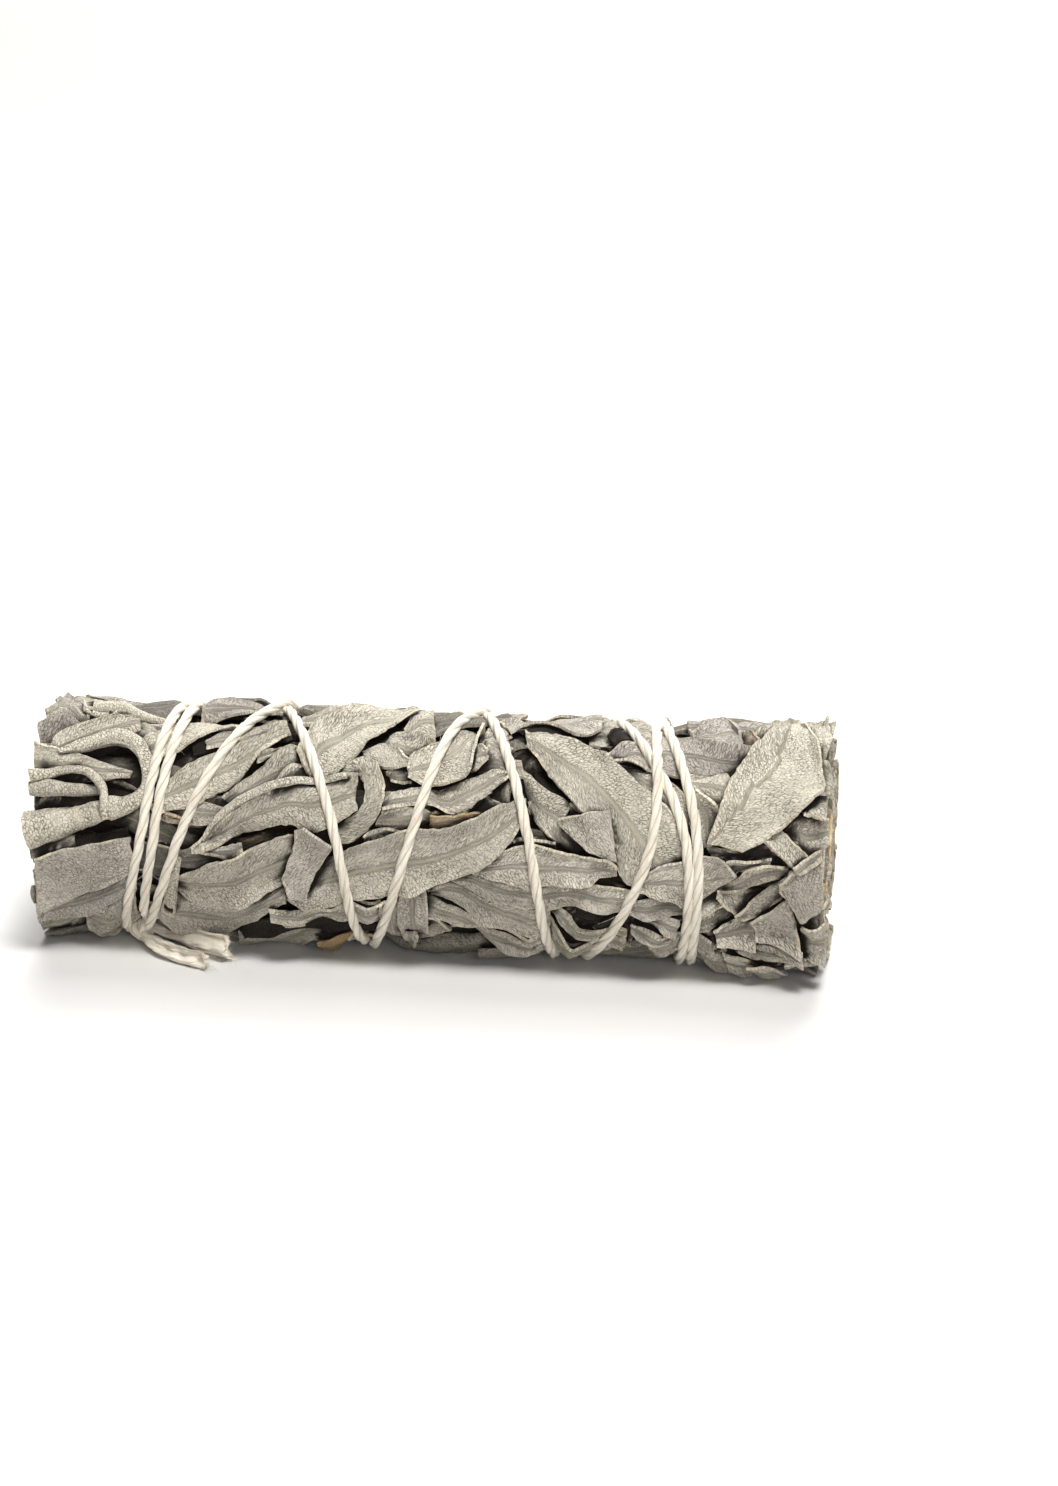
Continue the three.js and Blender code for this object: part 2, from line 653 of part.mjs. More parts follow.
function makeFoliage() {
  startLaying();
  const wraps = [];
  for (let row = 0; row < WRAP_ROWS; row++) {
    for (let spot = 0; spot < WRAP_PER_ROW; spot++) wraps.push(wrapLeaf(row, spot));
  }
  const leaves = [...wraps, ...SHOWN_LEAVES.map(shownLeaf)];
  return union([makeCore(), ...leaves.map(layLeaf)]);
}

const END_RECESS = 1.3;
const WIDE = 40;

// All the leaves, trimmed, flattened underneath, grooved by the twine and bored for the stalks.
function makeTrimmedLeaves() {
  const trim = (x) =>
    boxBetween(new THREE.Vector3(-x, -WIDE, 0), new THREE.Vector3(x, WIDE, WIDE));
  const ends = [];
  for (let n = 0; n < FOLDS; n++) ends.push(makeFold(n, 1), makeFold(n, -1));
  // Each end of the roll is cut back between the folds.
  const hollowEnd = solidOf(barOf(RADIUS * 0.78, LENGTH + 8)).subtract(
    boxBetween(
      new THREE.Vector3(-HALF + END_RECESS, -WIDE, -WIDE),
      new THREE.Vector3(HALF - END_RECESS, WIDE, WIDE),
    ),
  );
  return makeFoliage()
    .subtract(hollowEnd)
    .add(union(ends))
    .intersect(trim(HALF))
    .subtract(union([winding(GROOVE, 4), knotAndTails(GAP)]))
    .subtract(union(STALKS.map(stalkHole)));
}

// Cuts the leaves along the seams and gives the piece of each sprig, in order round the heart.
function sprigSolids() {
  const seams = union(SEAM_ANGLES.map(seam));
  const sprigs = largestBodies(makeTrimmedLeaves().subtract(seams), SEAM_ANGLES.length);
  const turn = (body) => {
    const box = body.boundingBox();
    const y = (box.min[1] + box.max[1]) / 2 - HEART.y;
    const z = (box.min[2] + box.max[2]) / 2 - HEART.z;
    return (degrees(Math.atan2(z, y)) + 360 - SEAM_ANGLES[0]) % 360;
  };
  return sprigs.sort((a, b) => turn(a) - turn(b));
}

const LEAF_LOOK = new THREE.MeshStandardMaterial({ color: 0xb4b2a2, roughness: 0.92, metalness: 0 });
const STALK_LOOK = new THREE.MeshStandardMaterial({ color: 0xa67f48, roughness: 0.8, metalness: 0 });
const TWINE_LOOK = new THREE.MeshStandardMaterial({ color: 0xece6d6, roughness: 0.95, metalness: 0 });

function named(name, solid, look) {
  const mesh = new THREE.Mesh(geometryOf(solid), look);
  mesh.name = name;
  return mesh;
}

// The tails reach further forward than the roll does, so the roll's axis lies a little behind the
// middle.
const AXIS_BEHIND_MIDDLE = 0.65;

const stick = new THREE.Group();
stick.name = "sage_smudge_stick";
stick.position.y = AXIS_BEHIND_MIDDLE;
sprigSolids().forEach((solid, i) => stick.add(named(`sprig_${i + 1}_leaves`, solid, LEAF_LOOK)));
STALKS.forEach((stalk, i) => stick.add(named(`sprig_${i + 1}_stalk`, makeStalk(stalk), STALK_LOOK)));
const [twine] = largestBodies(winding(TWINE, 6).add(knotAndTails(0)), 1);
stick.add(named("twine", twine, TWINE_LOOK));

export default stick;
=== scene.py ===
# A sage smudge stick on a white table: dried leaves laid one over another round a roll, cut leaf
# edges and stalks at its ends, and one length of cotton twine. Lengths in the settings are in mm.
import math

import bpy
import numpy as np
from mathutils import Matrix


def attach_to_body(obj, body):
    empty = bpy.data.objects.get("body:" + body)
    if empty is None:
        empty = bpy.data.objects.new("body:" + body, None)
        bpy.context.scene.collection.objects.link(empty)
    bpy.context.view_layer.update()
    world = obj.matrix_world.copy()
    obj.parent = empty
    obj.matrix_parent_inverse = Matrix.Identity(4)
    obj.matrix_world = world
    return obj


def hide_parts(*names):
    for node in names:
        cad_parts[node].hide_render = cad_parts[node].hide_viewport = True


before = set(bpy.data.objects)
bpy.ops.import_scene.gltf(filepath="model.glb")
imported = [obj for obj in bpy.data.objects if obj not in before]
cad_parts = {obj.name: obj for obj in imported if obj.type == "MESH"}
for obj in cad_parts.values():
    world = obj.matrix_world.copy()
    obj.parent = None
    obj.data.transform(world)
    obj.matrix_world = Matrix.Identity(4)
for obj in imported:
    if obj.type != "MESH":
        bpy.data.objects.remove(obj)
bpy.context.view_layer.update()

# The roll, and the view of it in which the leaves further down are given.
roll = {
    "length": 102.0,
    "radius": 14.7,
    "axisHeight": 14.15,
    "belly": 1.012,
    "leftTaper": 0.055,
    "rightTaper": 0.01,
    "seenFrom": 18.0,  # the stick is described as seen from this elevation, degrees
    "seenRadius": 15.2,
    "seenScale": 1.025,  # and from a little to the right, so the front lies further along
    "seenRaise": 0.8,
    "seenShift": -0.65,
    "seenAside": 2.5,
    "skin": 0.1,  # how far the leaves' mean height stands over the roll's radius
    "coreDepth": 4.3,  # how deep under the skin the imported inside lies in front
    "coreDepthBehind": 3.2,
    "coreDeepest": 33.0,  # where round the roll it lies deepest, degrees up from the front
}
halfLength = roll["length"] / 2
around = 2 * math.pi * roll["radius"]
mm = 0.001
# the tails reach further forward than the roll, so its axis lies a little behind the middle
axisPlace = np.array([0, 0.65, 0])


def rollRadius(x):
    # belly - taper (x / half length)^2, times the radius, with a taper of its own on each side
    taper = np.where(x < 0, roll["leftTaper"], roll["rightTaper"])
    return roll["radius"] * (roll["belly"] - taper * (x / halfLength) ** 2)


def stacked(*values):
    # arrays as the columns of a new last axis
    return np.stack(values, axis=-1)


def rolledUp(x, s, r):
    # a point at x, s round the unrolled surface and r from the axis: y = -r cos a, z = axis + r sin a
    a = s / roll["radius"]
    return stacked(x, -r * np.cos(a), roll["axisHeight"] + r * np.sin(a)) * mm


def seenAt(points):
    # [x, height above the axis as seen] as [x, s]: the angle is seenFrom + asin(height / radius),
    # and x moves on by seenAside times the angle's cosine
    p = np.array(points, float)
    sine = (roll["seenRaise"] + roll["seenScale"] * p[:, 1]) / roll["seenRadius"]
    angle = math.radians(roll["seenFrom"]) + np.arcsin(np.clip(sine, -0.999, 0.999))
    x = roll["seenScale"] * p[:, 0] + roll["seenShift"] + roll["seenAside"] * np.cos(angle)
    return np.column_stack([x, angle * roll["radius"]])


def splineThrough(points, steps):
    # a uniform Catmull-Rom curve through the points, its ends doubled, at even parameter steps
    p = np.vstack([points[:1], points, points[-1:]])
    k = np.linspace(0, len(points) - 1, steps)
    i = np.minimum(k.astype(int), len(points) - 2)
    w = (k - i)[:, None]
    a, b, c, d = p[i], p[i + 1], p[i + 2], p[i + 3]
    return 0.5 * (2 * b + (c - a) * w + (2 * a - 5 * b + 4 * c - d) * w**2 + (3 * b - a - 3 * c + d) * w**3)


def valuesAt(along, arc, table):
    # each column of a table that is given at some lengths, read off at others
    return [np.interp(along, arc, table[:, k]) for k in range(table.shape[1])]


def straightThrough(points, steps):
    # straight lines from point to point, at even parameter steps
    k = np.linspace(0, len(points) - 1, steps)
    return np.column_stack(valuesAt(k, np.arange(len(points)), points))


def ripples(a, b, rng, waves=6):
    # soft noise of about one unit's size: the mean of plane sine waves of random headings and lengths
    total = np.zeros(np.broadcast(a, b).shape)
    for heading, scale, phase in rng.uniform([0, 0.6, 0], [math.pi, 1.6, 2 * math.pi], (waves, 3)):
        total += np.sin((a * math.cos(heading) + b * math.sin(heading)) * 2 * math.pi * scale + phase)
    return total / math.sqrt(waves)


def smoothStep(low, high, x):
    # 0 below low, 1 above high, 3 t^2 - 2 t^3 between
    t = np.clip((x - low) / (high - low), 0, 1)
    return t * t * (3 - 2 * t)


# A grid over the unrolled surface holds the height of what is laid so far.
field = {"cell": 0.3, "spare": 8.0}
fieldX = np.arange(-halfLength - field["spare"], halfLength + field["spare"], field["cell"])
fieldS = np.arange(round(around / field["cell"])) * (around / round(around / field["cell"]))


def coreHeight():
    # radius less a depth that shrinks from the face that is seen to the back, with soft lumps
    x, s = np.meshgrid(fieldX, fieldS, indexing="ij")
    a = s / roll["radius"]
    behind = 0.5 - 0.5 * np.cos(a - math.radians(roll["coreDeepest"]))
    depth = roll["coreDepth"] + (roll["coreDepthBehind"] - roll["coreDepth"]) * behind
    lumps = 0.35 * np.sin(5 * a + x * 0.11) + 0.3 * np.sin(11 * a - x * 0.17)
    lumps = lumps + 0.25 * np.sin(17 * a + x * 0.4)
    return rollRadius(x) - depth + lumps


laid = coreHeight()
coreLaid = laid.copy()


def fieldCell(x, s):
    # fractional row and column of the field at x, s, with s going round
    i = np.clip((x - fieldX[0]) / field["cell"], 0, len(fieldX) - 1.001)
    j = (s / around % 1) * len(fieldS)
    return i, j


def heightAt(grid, x, s):
    # bilinear value of the grid at x, s
    i, j = fieldCell(x, s)
    i0, j0 = i.astype(int), j.astype(int) % len(fieldS)
    j1 = (j0 + 1) % len(fieldS)
    u, w = i - i0, j - np.floor(j)
    near = grid[i0, j0] * (1 - w) + grid[i0, j1] * w
    far = grid[i0 + 1, j0] * (1 - w) + grid[i0 + 1, j1] * w
    return near * (1 - u) + far * u


def finer(grid, times):
    # the grid with rows and columns added by linear interpolation
    rows, columns = grid.shape
    k = np.linspace(0, rows - 1, rows * times)
    i = np.minimum(k.astype(int), rows - 2)
    grid = grid[i] * (1 - (k - i))[:, None] + grid[i + 1] * (k - i)[:, None]
    k = np.linspace(0, columns - 1, columns * times)
    i = np.minimum(k.astype(int), columns - 2)
    return grid[:, i] * (1 - (k - i)) + grid[:, i + 1] * (k - i)


def raiseLaid(x, s, r):
    # the field becomes the larger of itself and r wherever the leaf covers it
    i, j = fieldCell(finer(x, 3), finer(s, 3))
    cells = (np.rint(i).astype(int), np.rint(j).astype(int) % len(fieldS))
    np.maximum.at(laid, cells, finer(r, 3))


def measured(line):
    # the length so far at each point of a line, and the line's unit direction there
    arc = np.concatenate([[0], np.cumsum(np.hypot(*np.diff(line, axis=0).T))])
    ahead = np.gradient(line, axis=0)
    return arc, ahead / np.hypot(ahead[:, 0], ahead[:, 1])[:, None]


def blurred(grid, times, wrap=False):
    # each value becomes a quarter of each neighbour and half of itself, along both ways
    for _ in range(times):
        g = np.pad(grid, ((1, 1), (0, 0)), mode="edge")
        grid = (g[:-2] + 2 * g[1:-1] + g[2:]) / 4
        g = np.pad(grid, ((0, 0), (1, 1)), mode="wrap" if wrap else "edge")
        grid = (g[:, :-2] + 2 * g[:, 1:-1] + g[:, 2:]) / 4
    return grid


# What a leaf has unless its own entry says otherwise.
leafForm = {
    "part": (0.0, 1.0),  # what is left of a whole leaf after tearing
    "arch": 0.45,  # how far it is arched across, radians from its rib to its edge
    "stiff": 26,  # how far it bridges the dips under it, in steps of its grid
    "crumple": 0.03,  # how deep the creases of its drying are
    "lean": None,  # how steeply it is tilted across, mm up for each mm from its right to its left edge
    "roll": (0.0, 0.0),  # how far its two edges are rolled under, radians
    "rollWidth": 1.6,
    "tear": (0.0, 0.0),  # how ragged its two ends are
    "lift": (0.0, 0.0),  # how far its two edges stand up
    "rise": 0.3,  # how far it stands over what is under it
    "thick": 0.42,
    "tone": None,  # its lightness and how green it is, from 0 to 1, and by chance where it is None
    "age": 0.0,  # how brown it is
    "wave": 0.2,  # how wavy it has dried
    "dark": 0.0,  # how much painted shade it has
    "rib": 0.0,  # how far its rib lies from its middle
    "torn": 0,  # 1 for a piece with straight torn edges and no rib
    "step": 0.62,  # how long its grid's cells are
}

# what differs for a leaf that is given by its two edges
tracedForm = {
    "arch": 0.16, "lift": (0.22, 0.22), "rise": 0.34, "thick": 0.36, "crumple": 0.06,
    "step": 0.5, "stiff": 32,
}
curveSteps = 240  # points along the curve that a leaf follows


def edged(left, right, tone, **more):
    # a leaf or a piece of one by its left and right edges, as [x, height above the axis] as seen
    return {"left": left, "right": right, "tone": tone, **more}


def leafAlong(path, width, part, **more):
    # a leaf by its middle line, its width and what is left of it
    return {"path": path, "width": width, "part": part, **more}


def rolledLeaf(path, radius, tone, **more):
    # a rolled leaf or a stem by its middle line and its radii
    return {"path": path, "radius": radius, "tone": tone, **more}


# Rolled leaves and stems on the face that is seen, from the lowest to the topmost: their radii at
# even steps along the path, and the shares of the path where the next sleeve of the roll begins.
shownRolls = [
    rolledLeaf([(-44.6, 12.9), (-39, 13.3), (-31, 12.9)], (1.05, 0.95, 0.75, 0.6), (1, 0.9)),
    rolledLeaf([(-38, 12.7), (-31.5, 12)], (0.4, 0.5, 0.45), (0.8, 0.5)),
    rolledLeaf([(-44.5, 12.3), (-40, 12.2)], (0.3, 0.45, 0.4), (1, 0.9)),
    rolledLeaf([(-52, 2.2), (-46.6, 2.8), (-41.8, 3.2)], (1, 1, 0.95, 0.7), (0.5, 0.5)),
    rolledLeaf([(-52, -2.9), (-46.6, -1.5), (-41.6, 0.3), (-38.5, 1.1), (-36.7, 2.6), (-35.9, 4.9),
        (-36.3, 7.4), (-38, 8.9), (-40.4, 9.3), (-43.5, 8.4), (-47, 7)],
        (2.2, 2.1, 1.75, 1.5, 1.35, 1.1, 0.85, 0.85, 1, 1.15, 1.1, 0.85, 0.3), (0.85, 0.6),
        sleeves=(0.185, 0.315)),
    rolledLeaf([(-52, 3.2), (-48.9, 4.1), (-47.2, 5.1), (-45.1, 5.4), (-43.1, 4.9), (-41.6, 3.4),
        (-41, 1.4), (-40.8, -0.9)], (0.75, 0.6, 0.55, 0.6, 0.6, 0.6, 0.55, 0.5), (0.95, 0.5)),
    rolledLeaf([(-28.7, -2.9), (-27.2, -0.5), (-24.1, 2), (-20.4, 3.7), (-16, 4.9), (-10.5, 5.6)],
        (0.25, 0.5, 0.55, 0.55, 0.5, 0.4), (0.75, 0.5)),
    rolledLeaf([(-31.8, -5.2), (-32.6, -8), (-33.6, -12.4)], (0.35, 0.6, 0.8, 1), (0.75, 0.6)),
]

# Leaves on the face that is seen, from the lowest to the topmost. Those given a dark value are
# sheets painted with shade, put where the gaps between leaves lie in shadow.
shownLeaves = [
    edged([(-24.4, -12.8), (-21.4, -12.3), (-17.6, -12.3), (-13.9, -12.4), (-10.4, -12.8)], [(-24.4, -14.2),
        (-21.1, -13.9), (-17.4, -13.9), (-13.6, -13.9), (-10.4, -14)], (0.35, 0.6), age=0.45),
    edged([(12.1, -8.9), (15.9, -8.5), (20.2, -8.5), (24.9, -8.8)], [(12.1, -14), (15.9, -14.2),
        (20.2, -14), (24.6, -13.3)], (0.45, 0.6)),
    edged([(19.4, 13.5), (22.1, 13.9), (25.9, 13.9), (29.4, 13.7)], [(19.6, 11), (22.4, 10.9), (25.9, 11.3),
        (29.4, 12)], (0.45, 0.3)),
    edged([(-29.6, 13.9), (-27.2, 13.9), (-24.1, 13.9), (-21.4, 13.9), (-19.1, 13.9)], [(-29.6, 12.8),
        (-27.2, 13.3), (-24.1, 13.5), (-21.4, 13.6), (-19.1, 13.3)], (0.4, 0.3), rise=0.4),
    edged([(-47.6, 13.4), (-45.4, 13.9), (-42.2, 13.9), (-39.1, 13.8)], [(-47.4, 11.9), (-44.8, 12),
        (-41.9, 12), (-39.1, 12)], (0.4, 0.4), rise=0.3),
    edged([(17.5, -9.1), (18.6, -8.8), (19.9, -9.3)], [(17.9, -10.4), (19.1, -10.7), (20.5, -10.5)], (0, 1),
        dark=0.95),
    edged([(19.9, -11.1), (22.1, -10), (24, -9.8)], [(20.9, -11.8), (22.8, -11.7), (24.4, -11.5)], (0, 1),
        dark=0.95),
    edged([(21.9, 11.5), (23.1, 12.7), (24.6, 13.4)], [(22.6, 10.8), (24.1, 11.5), (25.4, 12.3)], (0, 1),
        dark=0.95),
    edged([(11.4, 12.2), (14, 12.8), (17.8, 12.1)], [(11.9, 10.8), (14.6, 11), (18.1, 10.9)], (0, 1),
        dark=0.95),
    edged([(9, 1.3), (10.9, 0.7), (13.4, 0.2)], [(9.4, -1.2), (11.5, -1.3), (14, -1)], (0.3, 1), age=0.4,
        dark=0.7),
    edged([(12.4, 8.5), (14, 7.3), (16.1, 4.9)], [(13.1, 5.8), (14.4, 4.6), (15.9, 3.8)], (0, 1),
        dark=0.95),
    edged([(-30.4, 10.1), (-27.9, 11.1), (-25.6, 11.7)], [(-30.1, 7.9), (-27.6, 8.5), (-25.6, 9.3)], (0, 1),
        dark=0.95),
    edged([(-20.8, 12.3), (-19.1, 12.4), (-17.8, 11.6)], [(-20.5, 10.5), (-18.9, 10.2), (-17.8, 10.5)],
        (0.1, 1), age=0.5, dark=0.8),
    edged([(-47.1, -3.6), (-42.2, -2.9), (-38.6, -1.9)], [(-46.9, -5.3), (-42.2, -4.6), (-38.4, -3.4)],
        (0, 1), dark=0.95),
    edged([(-49.4, 12.2), (-48.2, 13.1), (-47, 13.8), (-45.4, 13.2), (-43.9, 12.3)], [(-49.2, 11.2),
        (-47.9, 10.9), (-46.4, 10.7), (-43.9, 10.8)], (0.35, 0.5), age=0.15, rise=0.5),
    edged([(-50.4, 10.9), (-48.6, 11.4), (-46.6, 11.7), (-44.1, 11)], [(-50, 8.4), (-48.1, 7.7),
        (-46.4, 8.2), (-44.1, 8.5)], (0.25, 0.1), rise=0.4),
    edged([(-47.9, 8.1), (-46.4, 9.8), (-44.4, 10.8), (-41.6, 10.8), (-38.5, 10.3), (-35.1, 9.5)],
        [(-47.4, 7.1), (-45.4, 7.6), (-43.1, 8.1), (-41.1, 8.2), (-38.5, 8.2), (-35.4, 7.9)], (0.4, 0.3),
        rise=0.4),
    leafAlong([(-41, 11.6), (-33.5, 8.2)], 4.6, (0.15, 0.9), tone=(0.4, 0.7)),
    leafAlong([(-44, 7), (-34.5, 5.2)], 5, (0.2, 0.9), tone=(0.35, 0.5)),
    leafAlong([(-52, 7.6), (-44, 6), (-37.5, 3.4)], 2.4, (0.4, 1), tone=(0.85, 0.75), arch=0.9),
    leafAlong([(-48, 6.9), (-43.5, 9.6), (-37, 11)], 5, (0.05, 0.9), tone=(0.95, 0.6), arch=0.5,
        lift=(0, 0.5)),
    leafAlong([(-52, 5.8), (-46, 5.7), (-38, 5.1)], 4.6, (0.42, 0.97), tone=(0.9, 0.7), arch=-0.6,
        rise=0.5),
    leafAlong([(-50.8, -1.2), (-47, 1.9)], 1.9, (0.3, 0.8), tone=(0.8, 1), arch=0.9),
    leafAlong([(-50.4, -5.4), (-45, -4.2)], 3, (0.3, 0.8), tone=(0.4, 0.5), arch=0.9),
    edged([(-45.4, -13.1), (-41.6, -11.6), (-37.9, -9.6)], [(-43.9, -14.4), (-41, -15.4), (-37.6, -14.4)],
        (0.5, 0.5)),
    edged([(-49.4, -11.5), (-45.4, -10.9), (-41.6, -9.5), (-37.6, -7.1)], [(-49.6, -13.4), (-46.4, -13.6),
        (-42.2, -12.5), (-37.6, -9.9)], (0.3, 0.1), stiff=50),
    edged([(-49.8, -5.9), (-46.6, -4.8), (-42.2, -3.9), (-37.9, -3)], [(-50, -11.9), (-46.6, -11.6),
        (-43.5, -10.8), (-37.6, -7.5)], (0.45, 0.3), torn=1, stiff=60),
    leafAlong([(-34.5, 0.6), (-25.5, 0.5)], 3.4, (0.1, 0.95), tone=(0.4, 0.4)),
    edged([(-35.5, 1), (-34.8, 1.4), (-34.1, 1), (-33.1, 0.5)], [(-35.2, 0.5), (-34.4, 0.3), (-33.8, -0.3),
        (-33, 0)], (0.5, 1), age=0.5, rise=0.5, torn=1),
    edged([(-33.5, 0.3), (-31.9, -0.1), (-30.4, -0.8)], [(-33.4, -0.4), (-31.9, -0.7), (-30.4, -1)],
        (0.5, 0.9), age=0.6, arch=0.8),
    edged([(-35.4, -11.4), (-30.4, -10.5), (-25.4, -11), (-21.4, -9.7), (-17.9, -8.1)], [(-35.4, -13.5),
        (-30.4, -14.5), (-27.2, -14.6), (-22.9, -12.9), (-18.6, -10.2)], (0.5, 0.4), arch=0.3),
    edged([(-11, -10.2), (-9.1, -9.8), (-6.6, -9.6)], [(-11.9, -12.1), (-9.1, -12.7), (-6.6, -12.6)],
        (0.42, 0.6)),
    edged([(-18.5, -15.7), (-15.4, -15.1), (-11, -15.2), (-7.6, -14.8)], [(-17.9, -16.3), (-12.9, -16.1),
        (-9.1, -16), (-6.9, -15.7)], (0.5, 0.9), age=0.2),
    edged([(-11.9, -14.3), (-10.4, -13.8), (-7.9, -14)], [(-11, -14.9), (-9.1, -15.6), (-7.4, -15.1)],
        (0.6, 1), age=0.35),
    edged([(-14.4, -14.3), (-12.2, -14), (-9.9, -14.9)], [(-14.1, -14.8), (-12.2, -15.2), (-10, -15.4)],
        (0.3, 0.8), age=0.8, arch=0.9),
    edged([(-24.8, -14.2), (-21.4, -13.7), (-17.9, -13.6), (-14.8, -13), (-11, -13.3), (-8.4, -13.3)],
        [(-24.6, -15.7), (-21.4, -15.6), (-17.9, -15.8), (-16, -14.9), (-13.5, -14.3), (-8.4, -14)],
        (0.6, 0.95), age=0.08),
    edged([(-24.4, -13.8), (-21.4, -12.4), (-18.1, -11.7), (-14.1, -12.1), (-10.4, -12.6), (-6.4, -12.6)],
        [(-23.9, -14.4), (-18.5, -13.9), (-14.1, -13.3), (-10.4, -13.5), (-6.4, -13.3)], (0, 1), dark=0.95,
        thick=0.3),
    edged([(-19.5, -11.6), (-17.9, -11.6), (-16, -11.9)], [(-19.1, -12.1), (-18.5, -13), (-16.1, -12.4)],
        (0.7, 0.5)),
    edged([(-20.6, -10.8), (-16.6, -11.1), (-12.9, -10.6), (-10.4, -10), (-6.4, -9.8)], [(-20.1, -11.6),
        (-16.6, -12.1), (-13.5, -11.9), (-11, -12.4), (-6.4, -11.9)], (0.5, 0.6)),
    edged([(0.9, -11.8), (3.4, -12.3), (5.6, -12.5), (8.4, -13.3), (12.1, -13.8), (16.1, -13.7)],
        [(2.1, -13.4), (4.6, -13.1), (7.1, -13.9), (9, -14.3), (12.1, -14.5), (16.1, -14.6)], (0.5, 0.4)),
    edged([(-1.9, -12.8), (0.4, -11.6), (2, -13.4)], [(-2.6, -14.4), (-0.1, -14.4), (1.9, -13.8)],
        (0.55, 0.7), age=0.12),
    edged([(13.4, -11.8), (15.9, -13.2), (20.9, -13.5), (24.6, -12.8)], [(12.8, -14.1), (17.1, -14.6),
        (20.9, -14.5), (24, -13.8)], (0.42, 0.8), age=0.15),
    edged([(13.4, -10.6), (14.8, -11.1), (16.1, -12.4), (17.8, -13.4), (20.9, -13), (23.9, -12.3)],
        [(13.1, -11.6), (14.6, -12.1), (15.9, -13.3), (17.8, -14.2), (20.9, -13.8), (23.6, -13.3)],
        (0.5, 0.75), arch=0.7),
    edged([(13.1, -9.3), (15.4, -9.6), (16.9, -10.7), (18, -11.7), (20.9, -11.7), (23.9, -11.3)],
        [(13.1, -10.2), (14.9, -10.6), (16.2, -11.8), (17.8, -12.9), (20.9, -12.6), (23.9, -12.1)],
        (0.6, 0.7), arch=0.7),
    edged([(-0.9, -9), (1.5, -9.9), (4, -10.5), (5.9, -11.8), (9.6, -12.8), (14.4, -13)], [(-0.6, -11.3),
        (1.5, -11.7), (4, -12.2), (7.1, -12.5), (10.9, -13.5), (14.4, -13.8)], (0.6, 0.6), arch=0.35),
    edged([(-0.9, -8.3), (1.5, -6.7), (4, -7.2), (7.1, -8.1), (10.2, -8.9), (14.4, -9.3)], [(-0.5, -8.9),
        (2.1, -9.6), (4.1, -10.4), (5.9, -11.7), (9.6, -12.6), (14.4, -12.9)], (0.65, 0.35), arch=0.35,
        stiff=50),
    edged([(1.9, -6.7), (4.6, -5.1), (7.1, -5.6), (10.2, -6.4), (14, -6.5), (16.5, -5.9), (20.9, -6.2),
        (27.1, -7)], [(2.1, -7), (5.2, -8), (8.4, -9.1), (11.1, -9.4), (14.6, -9.3), (17.4, -8.8),
        (21.1, -9.3), (25.4, -9.2)], (0.6, 0.3), stiff=50),
    edged([(-4.1, -9.2), (-4.1, -11.2), (-3.4, -13.9)], [(-6.6, -9.6), (-6.6, -11.3), (-6.4, -13.4)],
        (0.52, 0.4)),
    edged([(-1, -7.7), (-0.6, -10.3), (-0.8, -13.3)], [(-4.2, -8.8), (-4.4, -11.1), (-3.9, -13.3)],
        (0.5, 0.15), rise=0.4),
    edged([(-1.9, -12.8), (-2.1, -13.9), (-2.4, -14.9)], [(-3.8, -12.9), (-3.5, -13.9), (-3.2, -14.8)],
        (0.55, 0.2)),
    edged([(32.5, -13.4), (34.9, -12.8), (36.4, -12.9)], [(34, -14.5), (36.1, -15.1), (38.9, -15.1)],
        (0.5, 0.1)),
    edged([(36, -12.7), (38.1, -13.2), (39.9, -13.6), (41.8, -14.5)], [(36.9, -14.3), (39, -14.9),
        (40.5, -15.1), (42, -14.9)], (0.55, 0.1), rise=0.4),
    edged([(39, -13.4), (41.5, -13.7), (43.9, -14.4)], [(40.6, -14.6), (42.8, -14.9), (44.1, -14.8)],
        (0.6, 0.3)),
    edged([(43.4, -13.5), (44.6, -12.6), (46.1, -13.2)], [(43.8, -14.1), (45.2, -14.1), (46.2, -13.8)],
        (0.75, 0.5)),
    edged([(32.5, -11), (34, -11.2), (35.5, -11.8)], [(32.4, -13.1), (34.4, -12.9), (35.4, -12.5)],
        (0.5, 0.1)),
    edged([(45.5, -12.7), (48.1, -13), (49.9, -12.9)], [(45.9, -13.5), (47.8, -14), (49.6, -13.9)],
        (0.35, 0.3)),
    edged([(45.2, -9.9), (47.8, -9.5), (50.4, -8.6)], [(45.5, -12.5), (47.6, -13.1), (50.1, -13.1)],
        (0.5, 0.35), rise=0.35),
    edged([(35.5, -11.8), (38.6, -12.3), (41.5, -12.7), (43.8, -12.4), (46.1, -12.4)], [(35.9, -12.5),
        (39, -13.2), (42.1, -13.5), (43.9, -13.1), (46.1, -12.9)], (0.65, 0.1), rise=0.4),
    edged([(39.6, -11.5), (42.4, -11.8), (45.5, -11.8)], [(40, -12.5), (42.8, -12.6), (45.9, -12.7)],
        (0.55, 0.1)),
    edged([(26.5, -11.8), (29, -12), (31.5, -11.7), (34.4, -12)], [(26.9, -13), (29, -13.9), (32.1, -13.3),
        (34.9, -13.1)], (0.5, 0.1)),
    edged([(24.4, -10.5), (26.9, -11.2), (29.4, -11.8)], [(24.6, -11.3), (26.9, -12.2), (29.4, -12.3)],
        (0.5, 0.2)),
    edged([(25, -9.1), (27.8, -9.7), (30.5, -10.2)], [(25.1, -10), (27.8, -11), (29.9, -12)], (0.55, 0.1),
        rise=0.4),
    edged([(23.6, -8.6), (26.9, -7.2), (29.4, -8.2), (33.6, -8.7)], [(24.4, -9.4), (27.8, -9.7),
        (30.9, -9.7), (33.6, -9.4)], (0.38, 0.2)),
    edged([(32.8, -9.6), (34.6, -8.6), (36.1, -7.9), (37, -9.3)], [(32.6, -11.5), (34.9, -10.9),
        (36.5, -9.9), (37.1, -9.5)], (0.55, 0.1)),
